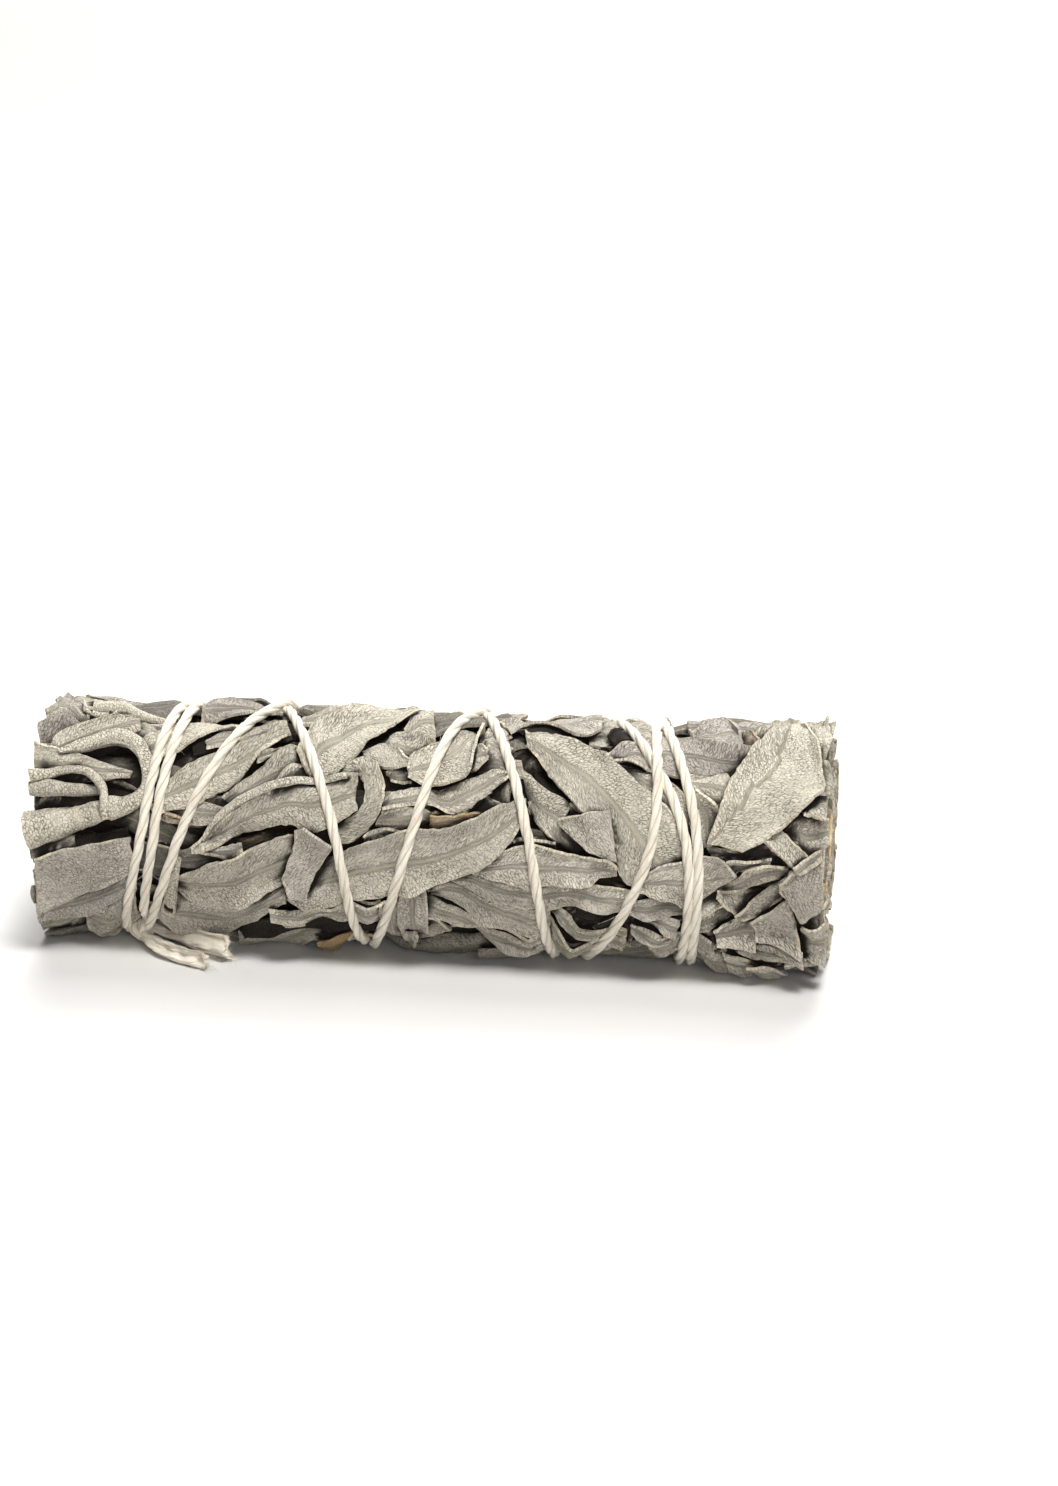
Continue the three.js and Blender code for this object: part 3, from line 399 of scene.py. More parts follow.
    edged([(32.6, -8.1), (33.9, -6.8), (35, -6.1)], [(32.5, -9.6), (34.4, -8.7), (36.1, -7.8)], (0.5, 0.1),
        rise=0.4),
    edged([(34.6, -10.9), (36.6, -10.2), (39, -9.4)], [(35.2, -12.1), (37.6, -12.4), (40.1, -12.4)],
        (0.6, 0.1), rise=0.45),
    edged([(48.6, -2.6), (49.6, -2.3), (50.6, -2)], [(48.6, -4.1), (49.6, -3.8), (50.6, -3.5)], (0.2, 0.5)),
    edged([(47.4, -8.3), (48.8, -6.8), (50.5, -6)], [(47.2, -9.1), (49, -9), (50.8, -8.6)], (0.55, 0.3)),
    edged([(48.5, -4.1), (50, -3.1), (51.1, -3.4)], [(48.6, -6.7), (49.8, -6.1), (50.9, -5.3)],
        (0.75, 0.5)),
    edged([(48.5, 0.7), (49.5, 1.3), (50.8, 0.4)], [(48.5, -2.5), (49.6, -2.3), (50.6, -1.7)], (0.55, 0.2)),
    edged([(47.1, 9), (48.6, 8.7), (50.4, 6)], [(47.4, 7.1), (48.6, 6.2), (49.9, 5.2)], (0.7, 0.9)),
    edged([(46.2, 13.9), (47.8, 13.9), (49.2, 13.9)], [(46.6, 13.9), (47.9, 13.9), (49.4, 13.9)],
        (0.7, 0.7)),
    edged([(46.9, 13.9), (48.1, 13.9), (49.4, 13.9)], [(47.4, 11.9), (48.2, 11.5), (49.1, 12.2)],
        (0.75, 0.7)),
    edged([(33.4, -0.5), (37.8, -0.9), (40.5, 0.4), (42.8, -1.5), (44.6, -2.5)], [(34.1, -2), (37.8, -2.6),
        (40.6, -2.5), (42.4, -2.1), (44.4, -3)], (0.4, 0.2)),
    edged([(35.9, -2.3), (39, -2.2), (41.4, -1.8)], [(36.8, -4), (38.6, -3.1), (41.2, -2.6)], (0.5, 0.5)),
    edged([(37.5, -6.2), (39.6, -5.3), (41.1, -4.4), (42.6, -4.1)], [(38.1, -6.5), (40.2, -6.2),
        (41.5, -5.4), (42.6, -4.6)], (0.5, 0.1)),
    edged([(35, -6), (36.9, -5), (38.4, -3.3), (40.5, -2.6), (43.6, -2.6)], [(35.2, -6.5), (37.4, -6.4),
        (39, -5.5), (40.6, -4.6), (43.6, -3.4)], (0.58, 0.1), arch=0.5, rise=0.4),
    edged([(34.8, -6.3), (36.5, -6.3), (38.4, -6.3), (40.5, -6.3)], [(34.9, -6.8), (36, -8.2), (37.1, -9.5),
        (40.4, -6.7)], (0.6, 0.1), rise=0.4, torn=1),
    edged([(42.4, 1.6), (44.6, 3.5), (46.5, 3.5), (48.6, 3.2)], [(43, 1), (44.6, -0.4), (45.8, -1.6),
        (48.6, 0.6)], (0.78, 0.95), age=0.1, rise=0.6),
    edged([(45.2, 3.6), (47.4, 6.4), (48.6, 6.6)], [(45.5, 3.4), (47.4, 2.9), (48.6, 2.9)], (0.55, 0.2),
        rise=0.4),
    edged([(42.5, 1.8), (44.2, 0.1), (46.1, -1.4)], [(40.5, 0.3), (42.5, -1.4), (44.2, -2.8)], (0.7, 0.15),
        rise=0.45, torn=1),
    edged([(37.1, -9.3), (39, -7.5), (40.6, -6), (42.4, -4.4), (44.1, -2.9)], [(37.9, -9.7), (39.9, -9.4),
        (41.6, -8), (43.1, -6.8), (44.6, -4.9)], (0.5, 0.15), rise=0.4, torn=1),
    edged([(39, -9.8), (41.4, -8.4), (43.4, -6.7)], [(39.8, -11.6), (42.4, -11.9), (45.5, -12)], (0.5, 0.1),
        rise=0.45, torn=1),
    edged([(42.5, -4.6), (44.2, -2.9), (46.4, -1.4), (48.8, 0.8)], [(42.4, -5.6), (43.9, -7.3),
        (45.2, -9.6), (48.9, -6.6)], (0.53, 0.2), rise=0.5, stiff=50, torn=1),
    edged([(44.1, -2.5), (45.9, -1.3), (47.4, -0.4)], [(44.8, -3.3), (46.1, -2.4), (47.6, -1.4)],
        (0.6, 0.3)),
    edged([(-28.5, 9.3), (-26.4, 10.9), (-22.9, 12.2), (-20.4, 13)], [(-28.4, 8.3), (-24.8, 9.5),
        (-22, 10.8), (-20, 12)], (0.45, 0.1)),
    edged([(-24.6, 10), (-21.9, 11.3), (-18.6, 12.4)], [(-24.1, 9.3), (-21.4, 10.2), (-17.9, 11.2)],
        (0.7, 0.9)),
    edged([(-16.6, 12.9), (-12.2, 13.6), (-10.1, 13.9)], [(-16.6, 12.2), (-12.2, 12.6), (-9.6, 13.3)],
        (0.6, 0.5)),
    edged([(-3.6, 12.1), (-2.1, 13.8), (0.1, 13.9)], [(-2.9, 11.1), (-1.1, 11.1), (0.4, 11.3)], (0.7, 0.4)),
    edged([(6, 11), (6.9, 12.5), (8.2, 13.5)], [(6.2, 10.4), (8.4, 11.2), (10, 11.6)], (0.5, 0.25)),
    edged([(8.6, 13.4), (11.1, 13.9), (14, 13.9), (17.8, 13.9), (21.4, 13.9)], [(9.9, 11.7), (12.8, 12.5),
        (15.6, 12.4), (18.4, 11.4), (21.2, 12.3)], (0.45, 0.15), arch=0.5),
    edged([(6.6, 10.5), (8, 10.9), (9.5, 11)], [(7, 10), (8.4, 9.7), (10, 9.9)], (0.7, 0.5), arch=0.9),
    edged([(32.1, 13.9), (35.9, 13.9), (39.6, 13.9), (42.8, 13.9), (44.9, 13.9)], [(32.1, 13.1),
        (34.6, 13.7), (38.4, 13.3), (40.6, 13), (44.9, 13.9)], (0.3, 0.2)),
    edged([(37.8, 11.9), (39.9, 12.9), (42.8, 13.9), (45.9, 13.9)], [(38.6, 11.2), (41.5, 12.2),
        (46.1, 13.9)], (0.7, 0.6)),
    edged([(38.1, 12.8), (39.4, 13.2), (40.5, 12.4)], [(38.2, 12.2), (39.4, 11.7), (40.6, 12)], (0.4, 0.8),
        age=0.5),
    edged([(32.4, 12.9), (33.8, 13.7), (35.6, 13.9), (37.2, 13.9), (38.2, 12.8)], [(32.5, 12.2),
        (34.1, 11.6), (36.1, 11.2), (38, 11), (38.6, 12.1)], (0.35, 0.05), rise=0.4),
    edged([(23.1, 9.3), (26.5, 8.7), (29.9, 6.9), (31.4, 4.4), (32.1, -1.1)], [(23.6, 8.2), (25.9, 5.8),
        (27.8, 4.1), (29, 1.8), (30.9, -2.2)], (0.5, 0.6)),
    edged([(21.6, 9.8), (23.6, 11.1), (26.5, 12), (29, 12.5), (31.5, 12.2), (34, 11.7), (37.1, 11.2),
        (39.9, 11.6)], [(21.9, 9.6), (24.9, 9), (27.1, 8.5), (29.4, 8.1), (32.1, 8.4), (34.9, 8.9),
        (37.4, 9.5), (39.8, 11.1)], (0.33, 0.05), rise=0.4, stiff=50),
    edged([(31.6, 8.3), (34.1, 8.5), (36.4, 9.1), (37, 7.3)], [(31.9, 6.3), (33.6, 5.2), (35.1, 3.6),
        (36, 5)], (0.75, 0.5)),
    edged([(32.4, 6.2), (35.1, 3.8), (34.9, 1.7), (33.9, -0.6)], [(32, 5.3), (32, 2.8), (32.4, 0.4),
        (33.2, -0.8)], (0.85, 0.7)),
    edged([(-37, 8.9), (-34.1, 11), (-30.4, 12.5), (-27.6, 13), (-24.1, 12.4)], [(-36.6, 6.7), (-33.5, 7.8),
        (-30.4, 9), (-27.2, 10.6), (-23.9, 11.9)], (0.85, 0.8)),
    edged([(-21.9, 7.8), (-19.1, 9), (-16.6, 9.5)], [(-21.9, 7), (-18.9, 8.3), (-16.4, 8.8)], (0.55, 0.8)),
    edged([(-26.4, 2.6), (-24.1, 4.8), (-21.6, 6.8), (-18.5, 8.7), (-15.9, 9.7)], [(-24.8, 1.5),
        (-22.2, 2.4), (-20.4, 3.5), (-17.6, 5), (-15.1, 7.2)], (0.62, 0.95), age=0.1, stiff=50),
    edged([(-34.4, 4), (-30.4, 6.9), (-26, 8.8), (-21.9, 10.3), (-18.6, 11.2)], [(-34.1, 0.3), (-29.8, 1.5),
        (-25.6, 4.2), (-22.9, 6.7), (-18.4, 10.3)], (0.8, 0.7), arch=0.5, roll=(0.9, 0)),
    edged([(-19.9, 4.4), (-18.2, 6.7), (-16.9, 7.3), (-15.5, 7)], [(-19.4, 3.8), (-17.9, 4.5), (-16.6, 5),
        (-15.4, 5.4)], (0.75, 0.6), arch=0.7),
    edged([(-6.2, 10.3), (-5, 11.9), (-2.9, 11.6), (0.1, 11.3)], [(-6, 9.7), (-4.1, 8.8), (-3, 8),
        (0.4, 10.8)], (0.75, 0.5), arch=0.5),
    edged([(-5.9, 6.8), (-4.8, 7.5), (-3, 7.7)], [(-5.2, 6), (-3.9, 5.8), (-2.6, 6.1)], (0.7, 0.4),
        arch=0.9),
    edged([(-8.8, 9.4), (-6.4, 10.4), (-4.4, 9.7), (-3, 8.5)], [(-8.6, 8.3), (-7.2, 7.3), (-5.1, 7.1),
        (-3.1, 7.7)], (0.7, 0.5), arch=0.5, rise=0.4, torn=1),
    edged([(6.1, 8.6), (6.9, 9.7), (7.9, 10), (9.2, 9.3), (11.1, 8.8)], [(5.6, 7.3), (6.9, 7), (8.1, 7.3),
        (9.6, 7.1), (11.4, 6.7)], (0.45, 0.2)),
    edged([(5.4, 9.9), (6.2, 9.9), (6.9, 9.2)], [(4.4, 7.3), (5.6, 7.2), (6.9, 8.5)], (0.6, 0.5), rise=0.4),
    edged([(6.4, 4.2), (8.1, 5.8), (9.6, 7.5)], [(6.9, 3.7), (9.1, 3.2), (10, 6.2)], (0.55, 1), age=0.12,
        torn=1),
    edged([(3.9, 2.2), (5.6, 3.8), (6.6, 4.3), (8.6, 3.3)], [(3.9, 1.6), (5.6, 1.5), (6.8, 2), (8.6, 2.6)],
        (0.35, 0.15)),
    edged([(-6.2, 1.7), (-3.9, 2.2), (-1.6, 2.4), (0.1, 2)], [(-7.4, -0.1), (-4.8, -0.4), (-2.9, 0),
        (0.2, 1.4)], (0.68, 0.5), arch=0.7),
    edged([(0.1, 2), (2.1, 2), (4.4, 2.1)], [(-0.4, 1.1), (2.1, 1.2), (4.6, 1.5)], (0.25, 0.8), age=0.8),
    edged([(-0.2, 1.4), (0.6, 1.4), (3.4, 1.7), (5.9, 2.2)], [(-0.5, 0.3), (0.6, -0.2), (2.8, 0.1),
        (5.9, 1)], (0.75, 1), age=0.7, arch=0.8),
    edged([(-8.8, -1.8), (-7.6, -0.6), (-6, -0.3), (-4.1, -0.7)], [(-8.6, -2.3), (-6.9, -2), (-5.4, -1.6),
        (-4.1, -1.3)], (0.65, 0.5), arch=0.8),
    edged([(-6, 4.1), (-4.1, 4.4), (-2.6, 5), (-0.9, 5.3), (0.1, 4.9), (2.1, 5.5), (5.2, 6.6), (9.5, 7.6)],
        [(-6, 1.8), (-3.9, 2.4), (-1.9, 2.8), (-0.1, 3), (1.8, 2), (3.6, 2.2), (6.5, 4.1), (9.8, 7)],
        (0.66, 0.45), roll=(1.6, 0), rise=0.4),
    edged([(-3, 7.3), (-2.6, 9), (-1, 10.3), (0.9, 11.5), (2.8, 12.5), (4.6, 12.9), (6.5, 12.7)],
        [(-2.9, 6.2), (-1.1, 5.3), (0.6, 5.3), (2.4, 5.7), (4.5, 6.7), (5.5, 9.8), (6.4, 12.2)],
        (0.72, 0.5), arch=0.3, rise=0.5, stiff=50),
    edged([(-11.9, 6.5), (-10.4, 7.9), (-8.5, 8.5), (-6.9, 7.7), (-6, 5.7), (-5.9, 3.5), (-6.5, 1.4),
        (-8.4, -0.8), (-10.6, -2.7), (-13.9, -3.3)], [(-11, 5.7), (-9.9, 6.4), (-9.1, 6.3), (-8.6, 5.4),
        (-8.4, 4.2), (-8.6, 2.7), (-9.5, 1.4), (-11.4, 0.2), (-13.1, -0.7), (-15.1, -1.3)], (0.72, 0.75),
        arch=0.5, rise=0.4, torn=1),
    edged([(-16.9, 8.7), (-15.1, 11.9), (-12.2, 12.9), (-7.9, 13.9), (-4.1, 13.9), (-1.8, 13.9)],
        [(-14.6, 3.8), (-12.2, 6.3), (-10.6, 8), (-8.4, 10), (-5.4, 11.9), (-1.8, 13.7)], (0.85, 0.75),
        roll=(1.1, 0), rise=0.45, stiff=50),
    edged([(-25.4, -4), (-23.5, -2.8), (-21.4, -1.8), (-18.6, -1.7)], [(-25, -4.6), (-23.1, -3.8),
        (-21, -2.8), (-18.5, -2.2)], (0.35, 0.8), age=0.6, arch=0.8),
    edged([(-29.5, -3.8), (-27.2, -3.9), (-25.1, -3.3), (-23.9, -3.1)], [(-29.2, -4.3), (-27.2, -4.7),
        (-25, -5.4), (-23.8, -3.9)], (0.35, 0.2), rise=0.45),
    edged([(11.2, 7.6), (14, 5.6), (16.8, 4.2), (16, 1.8), (18.8, -1.6)], [(11.8, 4.1), (12.5, 1.6),
        (14.2, -0.4), (15.9, -1.7), (17.5, -2.5)], (0.6, 0.35)),
    edged([(9.8, -1.3), (10.9, -0.7), (12.8, -0.9), (15.1, -1.1)], [(9.4, -1.9), (12.1, -1.8),
        (15.1, -1.9)], (0.65, 0.4)),
    edged([(16.9, 4.1), (17.6, 3.6), (18.5, 2.8)], [(16.6, 2.3), (17.5, 2.2), (18.6, 2.4)], (0.75, 0.6)),
    edged([(11.6, 11.3), (14, 11.3), (17.8, 11), (20.2, 10.6), (22.8, 9), (25.9, 6.3), (28.8, 3.9),
        (31.4, -0.6), (32.4, -2.6)], [(12, 10.1), (13.8, 8.2), (15.6, 6), (17.4, 4), (19.6, 1.2),
        (21.6, -1.7), (23.1, -5.1), (25.4, -6.6), (27.9, -7)], (0.68, 0.65), arch=0.25, rise=0.5, stiff=60),
    edged([(25.6, -5.2), (27.8, -3.4), (30.9, -2.6), (34.1, -1.8), (35.8, -2.5), (37.1, -3.9)],
        [(25.1, -6.5), (27.4, -7.1), (29.4, -7.8), (31.4, -8.7), (34.1, -6.5), (37.1, -4.3)], (0.6, 0.1),
        rise=0.45, stiff=50),
    edged([(15.4, 1.8), (17.6, 2.3), (19.6, 2.7), (21.9, 3.2)], [(15.5, 1.4), (17.2, -0.4), (19, -2.2),
        (22.6, -3.2)], (0.6, 0.05), rise=0.5, torn=1, arch=0.1),
    edged([(4.6, -4.9), (8.4, -2.6), (11.5, -1.5), (14.6, -1.9), (18.4, -2.7), (21.4, -2.9), (22.6, -3.5)],
        [(4.9, -5.3), (7.8, -6), (10.2, -6.6), (12.1, -7), (15.2, -6.1), (18.8, -6.2), (20.8, -5.2),
        (22.6, -5)], (0.6, 0.2), lift=(0, 0.35), rise=0.45, stiff=50),
    edged([(47.5, 13.5), (48.6, 13.9), (49.4, 13.9)], [(48, 10.9), (48.8, 11.4), (49.6, 12.5)], (0.75, 0.7),
        rise=0.5, torn=1),
    edged([(47.9, 10.6), (48.8, 11.1), (49.8, 10.7)], [(48.4, 6.9), (49, 6.3), (50, 6)], (0.7, 0.8),
        rise=0.5, torn=1),
    edged([(45.8, 8.9), (47.4, 8), (48.6, 6.9)], [(45.4, 6.8), (47.1, 6.1), (48.5, 5.9)], (0.55, 0.2),
        rise=0.45),
    edged([(49.1, 7), (49.8, 6.6), (50.4, 5.6)], [(49.1, 5.2), (49.8, 5.2), (50.4, 4.8)], (0.6, 0.9),
        age=0.2, rise=0.4),
    edged([(33.6, -0.2), (34.9, 2.7), (35.9, 5.3), (36.9, 8.3), (39, 10.8), (41.5, 12.7), (44, 13.9),
        (46, 13.9)], [(37.8, -1.1), (40.4, 0.3), (42.8, 2), (45, 3.8), (47.8, 6.3), (47.9, 9), (47.6, 12.1),
        (46.4, 13.9)], (0.9, 0.9), arch=0.15, rib=2, rise=0.55, stiff=70),
    edged([(-34.4, -9), (-32.2, -8), (-30.1, -6.9), (-27.6, -5.6), (-24.8, -4.9), (-22.2, -3.4),
        (-18.5, -1.9), (-16.9, -1.8)], [(-34.6, -9.7), (-32.6, -10.1), (-30.4, -10.9), (-28.5, -11.5),
        (-25.4, -11.5), (-22.9, -10.5), (-20.4, -9.4), (-17.6, -8)], (0.6, 0.55), rise=0.5, stiff=60,
        arch=0.3),
    edged([(-30.1, -3.9), (-27.2, -1.2), (-24.1, 1.3), (-21.4, 2.9), (-17.9, 4.4), (-14.1, 5.4), (-11, 6.1),
        (-8.8, 6.4)], [(-29.9, -4.2), (-27.1, -3.6), (-24.1, -2), (-21.4, -1.2), (-17.9, -0.4),
        (-15.6, -1.4), (-12.9, -0.5), (-9.2, 1.9)], (0.57, 0.7), rise=0.5, crumple=0.1, tear=(0, 0.8),
        stiff=50),
    edged([(-16.6, -7.8), (-14.1, -5.5), (-11, -3.4), (-7.2, -1.9), (-2.9, -0.3), (0.9, -0.1), (5.2, 1.3),
        (8.4, 3.2), (11.5, 4.3)], [(-18.1, -9.7), (-16, -10.9), (-12.9, -10.3), (-8.9, -9.3), (-4.1, -8.7),
        (-0.4, -7.5), (5.2, -4.9), (8.6, -2.6), (10.8, 0.8)], (0.6, 0.45), rise=0.5, stiff=70, arch=0.25),
    edged([(-16, -0.8), (-12.4, -3), (-14, -5.2), (-15.2, -7.5), (-15.9, -9.8)], [(-17.1, -1.1),
        (-17.4, -3.4), (-18.2, -5.5), (-18.9, -7.4), (-17.8, -9.5)], (0.52, 0.1), rise=0.5, torn=1,
        arch=0.1, lean=0.02, stiff=90),
    edged([(-14.6, -14.2), (-12.2, -13.5), (-10.1, -13.8)], [(-14.2, -15.1), (-11.9, -15.3), (-9.9, -14.6)],
        (0.3, 0.6), age=0.75, rise=0.4),
    edged([(-10.8, -14.3), (-9.1, -13.7), (-7.5, -14.1)], [(-10.4, -15.4), (-8.9, -15.8), (-7.4, -15.1)],
        (0.35, 0.6), age=0.5, rise=0.4),
]

# Leaves of the rest of the roll, laid by chance in rows round it, and layers under them: browner
# with age all round, and on the face that is seen, one painted half in shade.
# Angles go round the roll in degrees from its front, upwards.
wrapLeaves = {
    "rows": 14, "perRow": 7, "fromAngle": 88, "toAngle": 330,
    "length": (20, 38), "width": (5, 10.5), "slant": 24, "seed": 11, "step": 0.66,
}
underLeaves = {
    "rows": 15, "perRow": 6, "fromAngle": 0, "toAngle": 336,
    "length": (18, 34), "width": (2.6, 5.5), "slant": 13, "seed": 5, "step": 0.95,
}
innerLeaves = {
    "rows": 9, "perRow": 6, "fromAngle": -50, "toAngle": 98,
    "length": (17, 34), "width": (4, 7.5), "slant": 24, "seed": 23, "step": 0.8,
}
# what differs from leaf to leaf among those laid by chance
chance = {
    "reversed": 0.4,  # the share of the leaves that point to the left
    "rowShift": 0.4,  # how far one is moved, as a share of the spacing
    "alongShift": 0.3,
    "bow": 2.2,
    "start": (0, 0.3),
    "end": (0.75, 1),
    "arch": (0.3, 0.95),
    "rolls": [0, 0, 1.5, 3],
    "tear": (0, 1.8),
    "lift": (-0.1, 0.6),
}


def leafOutline(t):
    # half the width of a whole leaf at a share t of its length: sin(pi t^0.9)^0.7
    return np.sin(np.pi * np.clip(t, 0, 1) ** 0.9) ** 0.7


def chanceLeaves(rule):
    # rows of leaves nearly along the roll, each turned, bowed, torn and arched a little by chance
    rng = np.random.default_rng(rule["seed"])
    rows, perRow = rule["rows"], rule["perRow"]
    sweep = rule["toAngle"] - rule["fromAngle"]
    leaves = []
    for row in range(rows):
        for spot in range(perRow):
            length = rng.uniform(*rule["length"])
            turn = math.radians(rng.uniform(-rule["slant"], rule["slant"]))
            if rng.random() < chance["reversed"]:
                turn += math.pi
            place = row + rng.uniform(-chance["rowShift"], chance["rowShift"])
            angle = rule["fromAngle"] + sweep * place / (rows - 1)
            place = spot + 0.5 * (row % 2) + rng.uniform(-chance["alongShift"], chance["alongShift"])
            middle = -halfLength + roll["length"] * place / (perRow - 0.5)
            centre = np.array([middle, math.radians(angle) * roll["radius"]])
            along = np.array([math.cos(turn), math.sin(turn)])
            across = np.array([-along[1], along[0]])
            bow = rng.uniform(-chance["bow"], chance["bow"])
            path = [centre - along * length / 2, centre + across * bow, centre + along * length / 2]
            leaf = {
                "unrolled": np.array(path),
                "width": rng.uniform(*rule["width"]),
                "part": (rng.uniform(*chance["start"]), rng.uniform(*chance["end"])),
                "arch": rng.uniform(*chance["arch"]),
                "roll": tuple(rng.choice(chance["rolls"], 2)),
                "tear": tuple(rng.uniform(*chance["tear"], 2)),
                "lift": tuple(rng.uniform(*chance["lift"], 2)),
                "step": rule["step"],
            }
            leaves.append(leaf)
    order = rng.permutation(len(leaves))
    return [leaves[k] for k in order]


def layLeaf(leaf, number):
    # The blade is a strip along its path. Across it, the turning angle runs from -arch to arch and
    # faster where an edge is rolled, and its sine and cosine are summed to a section. Each section
    # is lifted to the smallest smooth height that clears what is already laid.
    traced = "left" in leaf
    form = {**leafForm, **(tracedForm if traced else {}), **leaf}
    rng = np.random.default_rng(1000 + number)
    if traced:
        curve = straightThrough if form["torn"] else splineThrough
        sides = [curve(seenAt(form[side]), curveSteps) for side in ("right", "left")]
        form["rib"] += 9 * form["torn"]  # past its edge
        line = (sides[0] + sides[1]) / 2
        span = np.hypot(*(sides[1] - sides[0]).T) / 2
        form["width"] = 2 * span.max()
    else:
        path = form["unrolled"] if "unrolled" in form else seenAt(form["path"])
        line = splineThrough(path, curveSteps)
    arc, ahead = measured(line)
    length = arc[-1]
    rows = int(np.clip(length / form["step"], 12, 64))
    columns = 2 * int(np.clip(form["width"] / form["step"] * 0.73, 4, 10)) + 1
    # v goes from -1 at the right edge to 1 at the left one, in finer steps near the edges
    u = np.linspace(0, 1, rows)[:, None]
    w = np.linspace(-1, 1, columns)[None, :]
    v = 0.45 * w + 0.55 * np.sin(w * math.pi / 2)

    # where it is cut off by the roll's end, and how ragged its own ends are
    trim = halfLength + 0.3 - rng.uniform(0, 0.6) if traced else halfLength - rng.uniform(0, 1.3)
    first, last = form["part"]
    share = first + (last - first) * arc[:, None] / length
    if traced:
        reachX = sides[0][:, :1] + (sides[1] - sides[0])[:, :1] * (v + 1) / 2
    else:
        reachX = line[:, :1] - ahead[:, 1:] * form["width"] / 2 * leafOutline(share) * v
    inside = np.abs(reachX) <= trim
    firsts = arc[np.argmax(inside, axis=0)]
    lasts = arc[len(arc) - 1 - np.argmax(inside[::-1], axis=0)]
    places = np.array([-1, -0.45, -0.1, 0.4, 1]) + np.append(np.append(0, rng.uniform(-0.2, 0.2, 3)), 0)
    ragged = [tear * np.interp(v, places, rng.uniform(0, 1, 5)) for tear in form["tear"]]
    starts = np.maximum(ragged[0], firsts)
    stops = np.maximum(ragged[1], length - lasts)
    along = starts + (length - starts - stops) * u
    t = first + (last - first) * along / length
    flutter = 1 + 0.07 * form["wave"] / 0.2 * ripples(along / 7, v * 0.2, rng)
    half = np.interp(along, arc, span) if traced else form["width"] / 2 * leafOutline(t) * flutter
    half = np.maximum(half, 0.12)
    q = half * v

    turn = form["arch"] * v
    for side, amount in ((-1, form["roll"][0]), (1, form["roll"][1])):
        rolled = np.clip((side * q - (half - form["rollWidth"])) / form["rollWidth"], 0, 1)
        turn = turn + side * amount * rolled * smoothStep(0.3, 1.2, half)
    middle = (turn[:, 1:] + turn[:, :-1]) / 2
    step = np.diff(q, axis=1)
    zero = np.zeros((rows, 1))
    aside = np.hstack([zero, np.cumsum(np.cos(middle) * step, axis=1)])
    up = np.hstack([zero, np.cumsum(-np.sin(middle) * step, axis=1)])
    centre = columns // 2
    aside = aside - aside[:, centre : centre + 1]
    lean = form["lean"] if form["lean"] is not None else rng.choice([-1, 1]) * rng.uniform(0.04, 0.16)
    up = up + lean * q
    up = up - up.min(axis=1, keepdims=True)

    cx, cs = valuesAt(along, arc, line)
    ax, ay = valuesAt(along, arc, ahead)
    x, s = cx - ay * aside, cs + ax * aside
    if traced:
        low, high = aside.min(axis=1, keepdims=True), aside.max(axis=1, keepdims=True)
        across = (aside - low) / (high - low)
        (rx, rs), (lx, ls) = (valuesAt(along, arc, side) for side in sides)
        x, s = rx + (lx - rx) * across, rs + (ls - rs) * across
        x = x + 0.07 * ripples(along / 1.6, q / 1.6, rng)
        s = s + 0.07 * ripples(along / 1.6, q / 1.6, rng)

    lowest = heightAt(laid, x, s) - up
    height = lowest
    for _ in range(form["stiff"]):
        height = np.maximum(lowest, blurred(height, 1))
    height = blurred(height, 3)
    edge = np.clip(np.abs(v) - 0.55, 0, 1) / 0.45
    lifted = np.where(v < 0, form["lift"][0], form["lift"][1]) * edge**2
    rib = -0.01 * np.exp(-(((q - form["rib"]) / 0.4) ** 2)) * smoothStep(0.6, 1.6, half)
    broad = 0.6 * ripples(along / 9, q / 5, rng)
    own = form["wave"] * (broad + 0.5 * ripples(along / 5, q / 1.9, rng) * (1 - edge**2))
    creases = np.abs(ripples((along - 0.8 * np.abs(q)) / 6.5, q / 4.5, rng))
    own = own + form["crumple"] * (0.7 - 1.4 * np.minimum(creases, 0.9)) * smoothStep(0.5, 2.0, half)
    flare = form["wave"] * 1.2 * ripples(along / 6, v * 0.3, rng) * edge
    r = height + up + form["rise"] + form["thick"] / 2 + lifted + rib + own + np.maximum(flare, -0.1)
    raiseLaid(x, s, r + form["thick"] / 2)

    tone = form["tone"] if form["tone"] is not None else (rng.uniform(0.15, 0.85), rng.uniform(0.1, 0.9))
    return {
        "x": np.clip(x, -trim, trim),
        "s": s,
        "r": r,
        "thick": form["thick"],
        "along": along,
        "q": q - form["rib"],
        "t": t * length / max(last - first, 0.1),
        "v": (q - form["rib"]) / half,
        "tone": tone,
        "age": form["age"],
        "dark": form["dark"],
        "number": number,
    }


# what a rolled leaf has: its height for its width, how far it sinks in, and a groove where it ends
rollForm = {"tall": 0.85, "sink": 0.25, "sleeves": (), "age": 0.0, "sides": 20, "stiff": 16, "groove": 0.16}


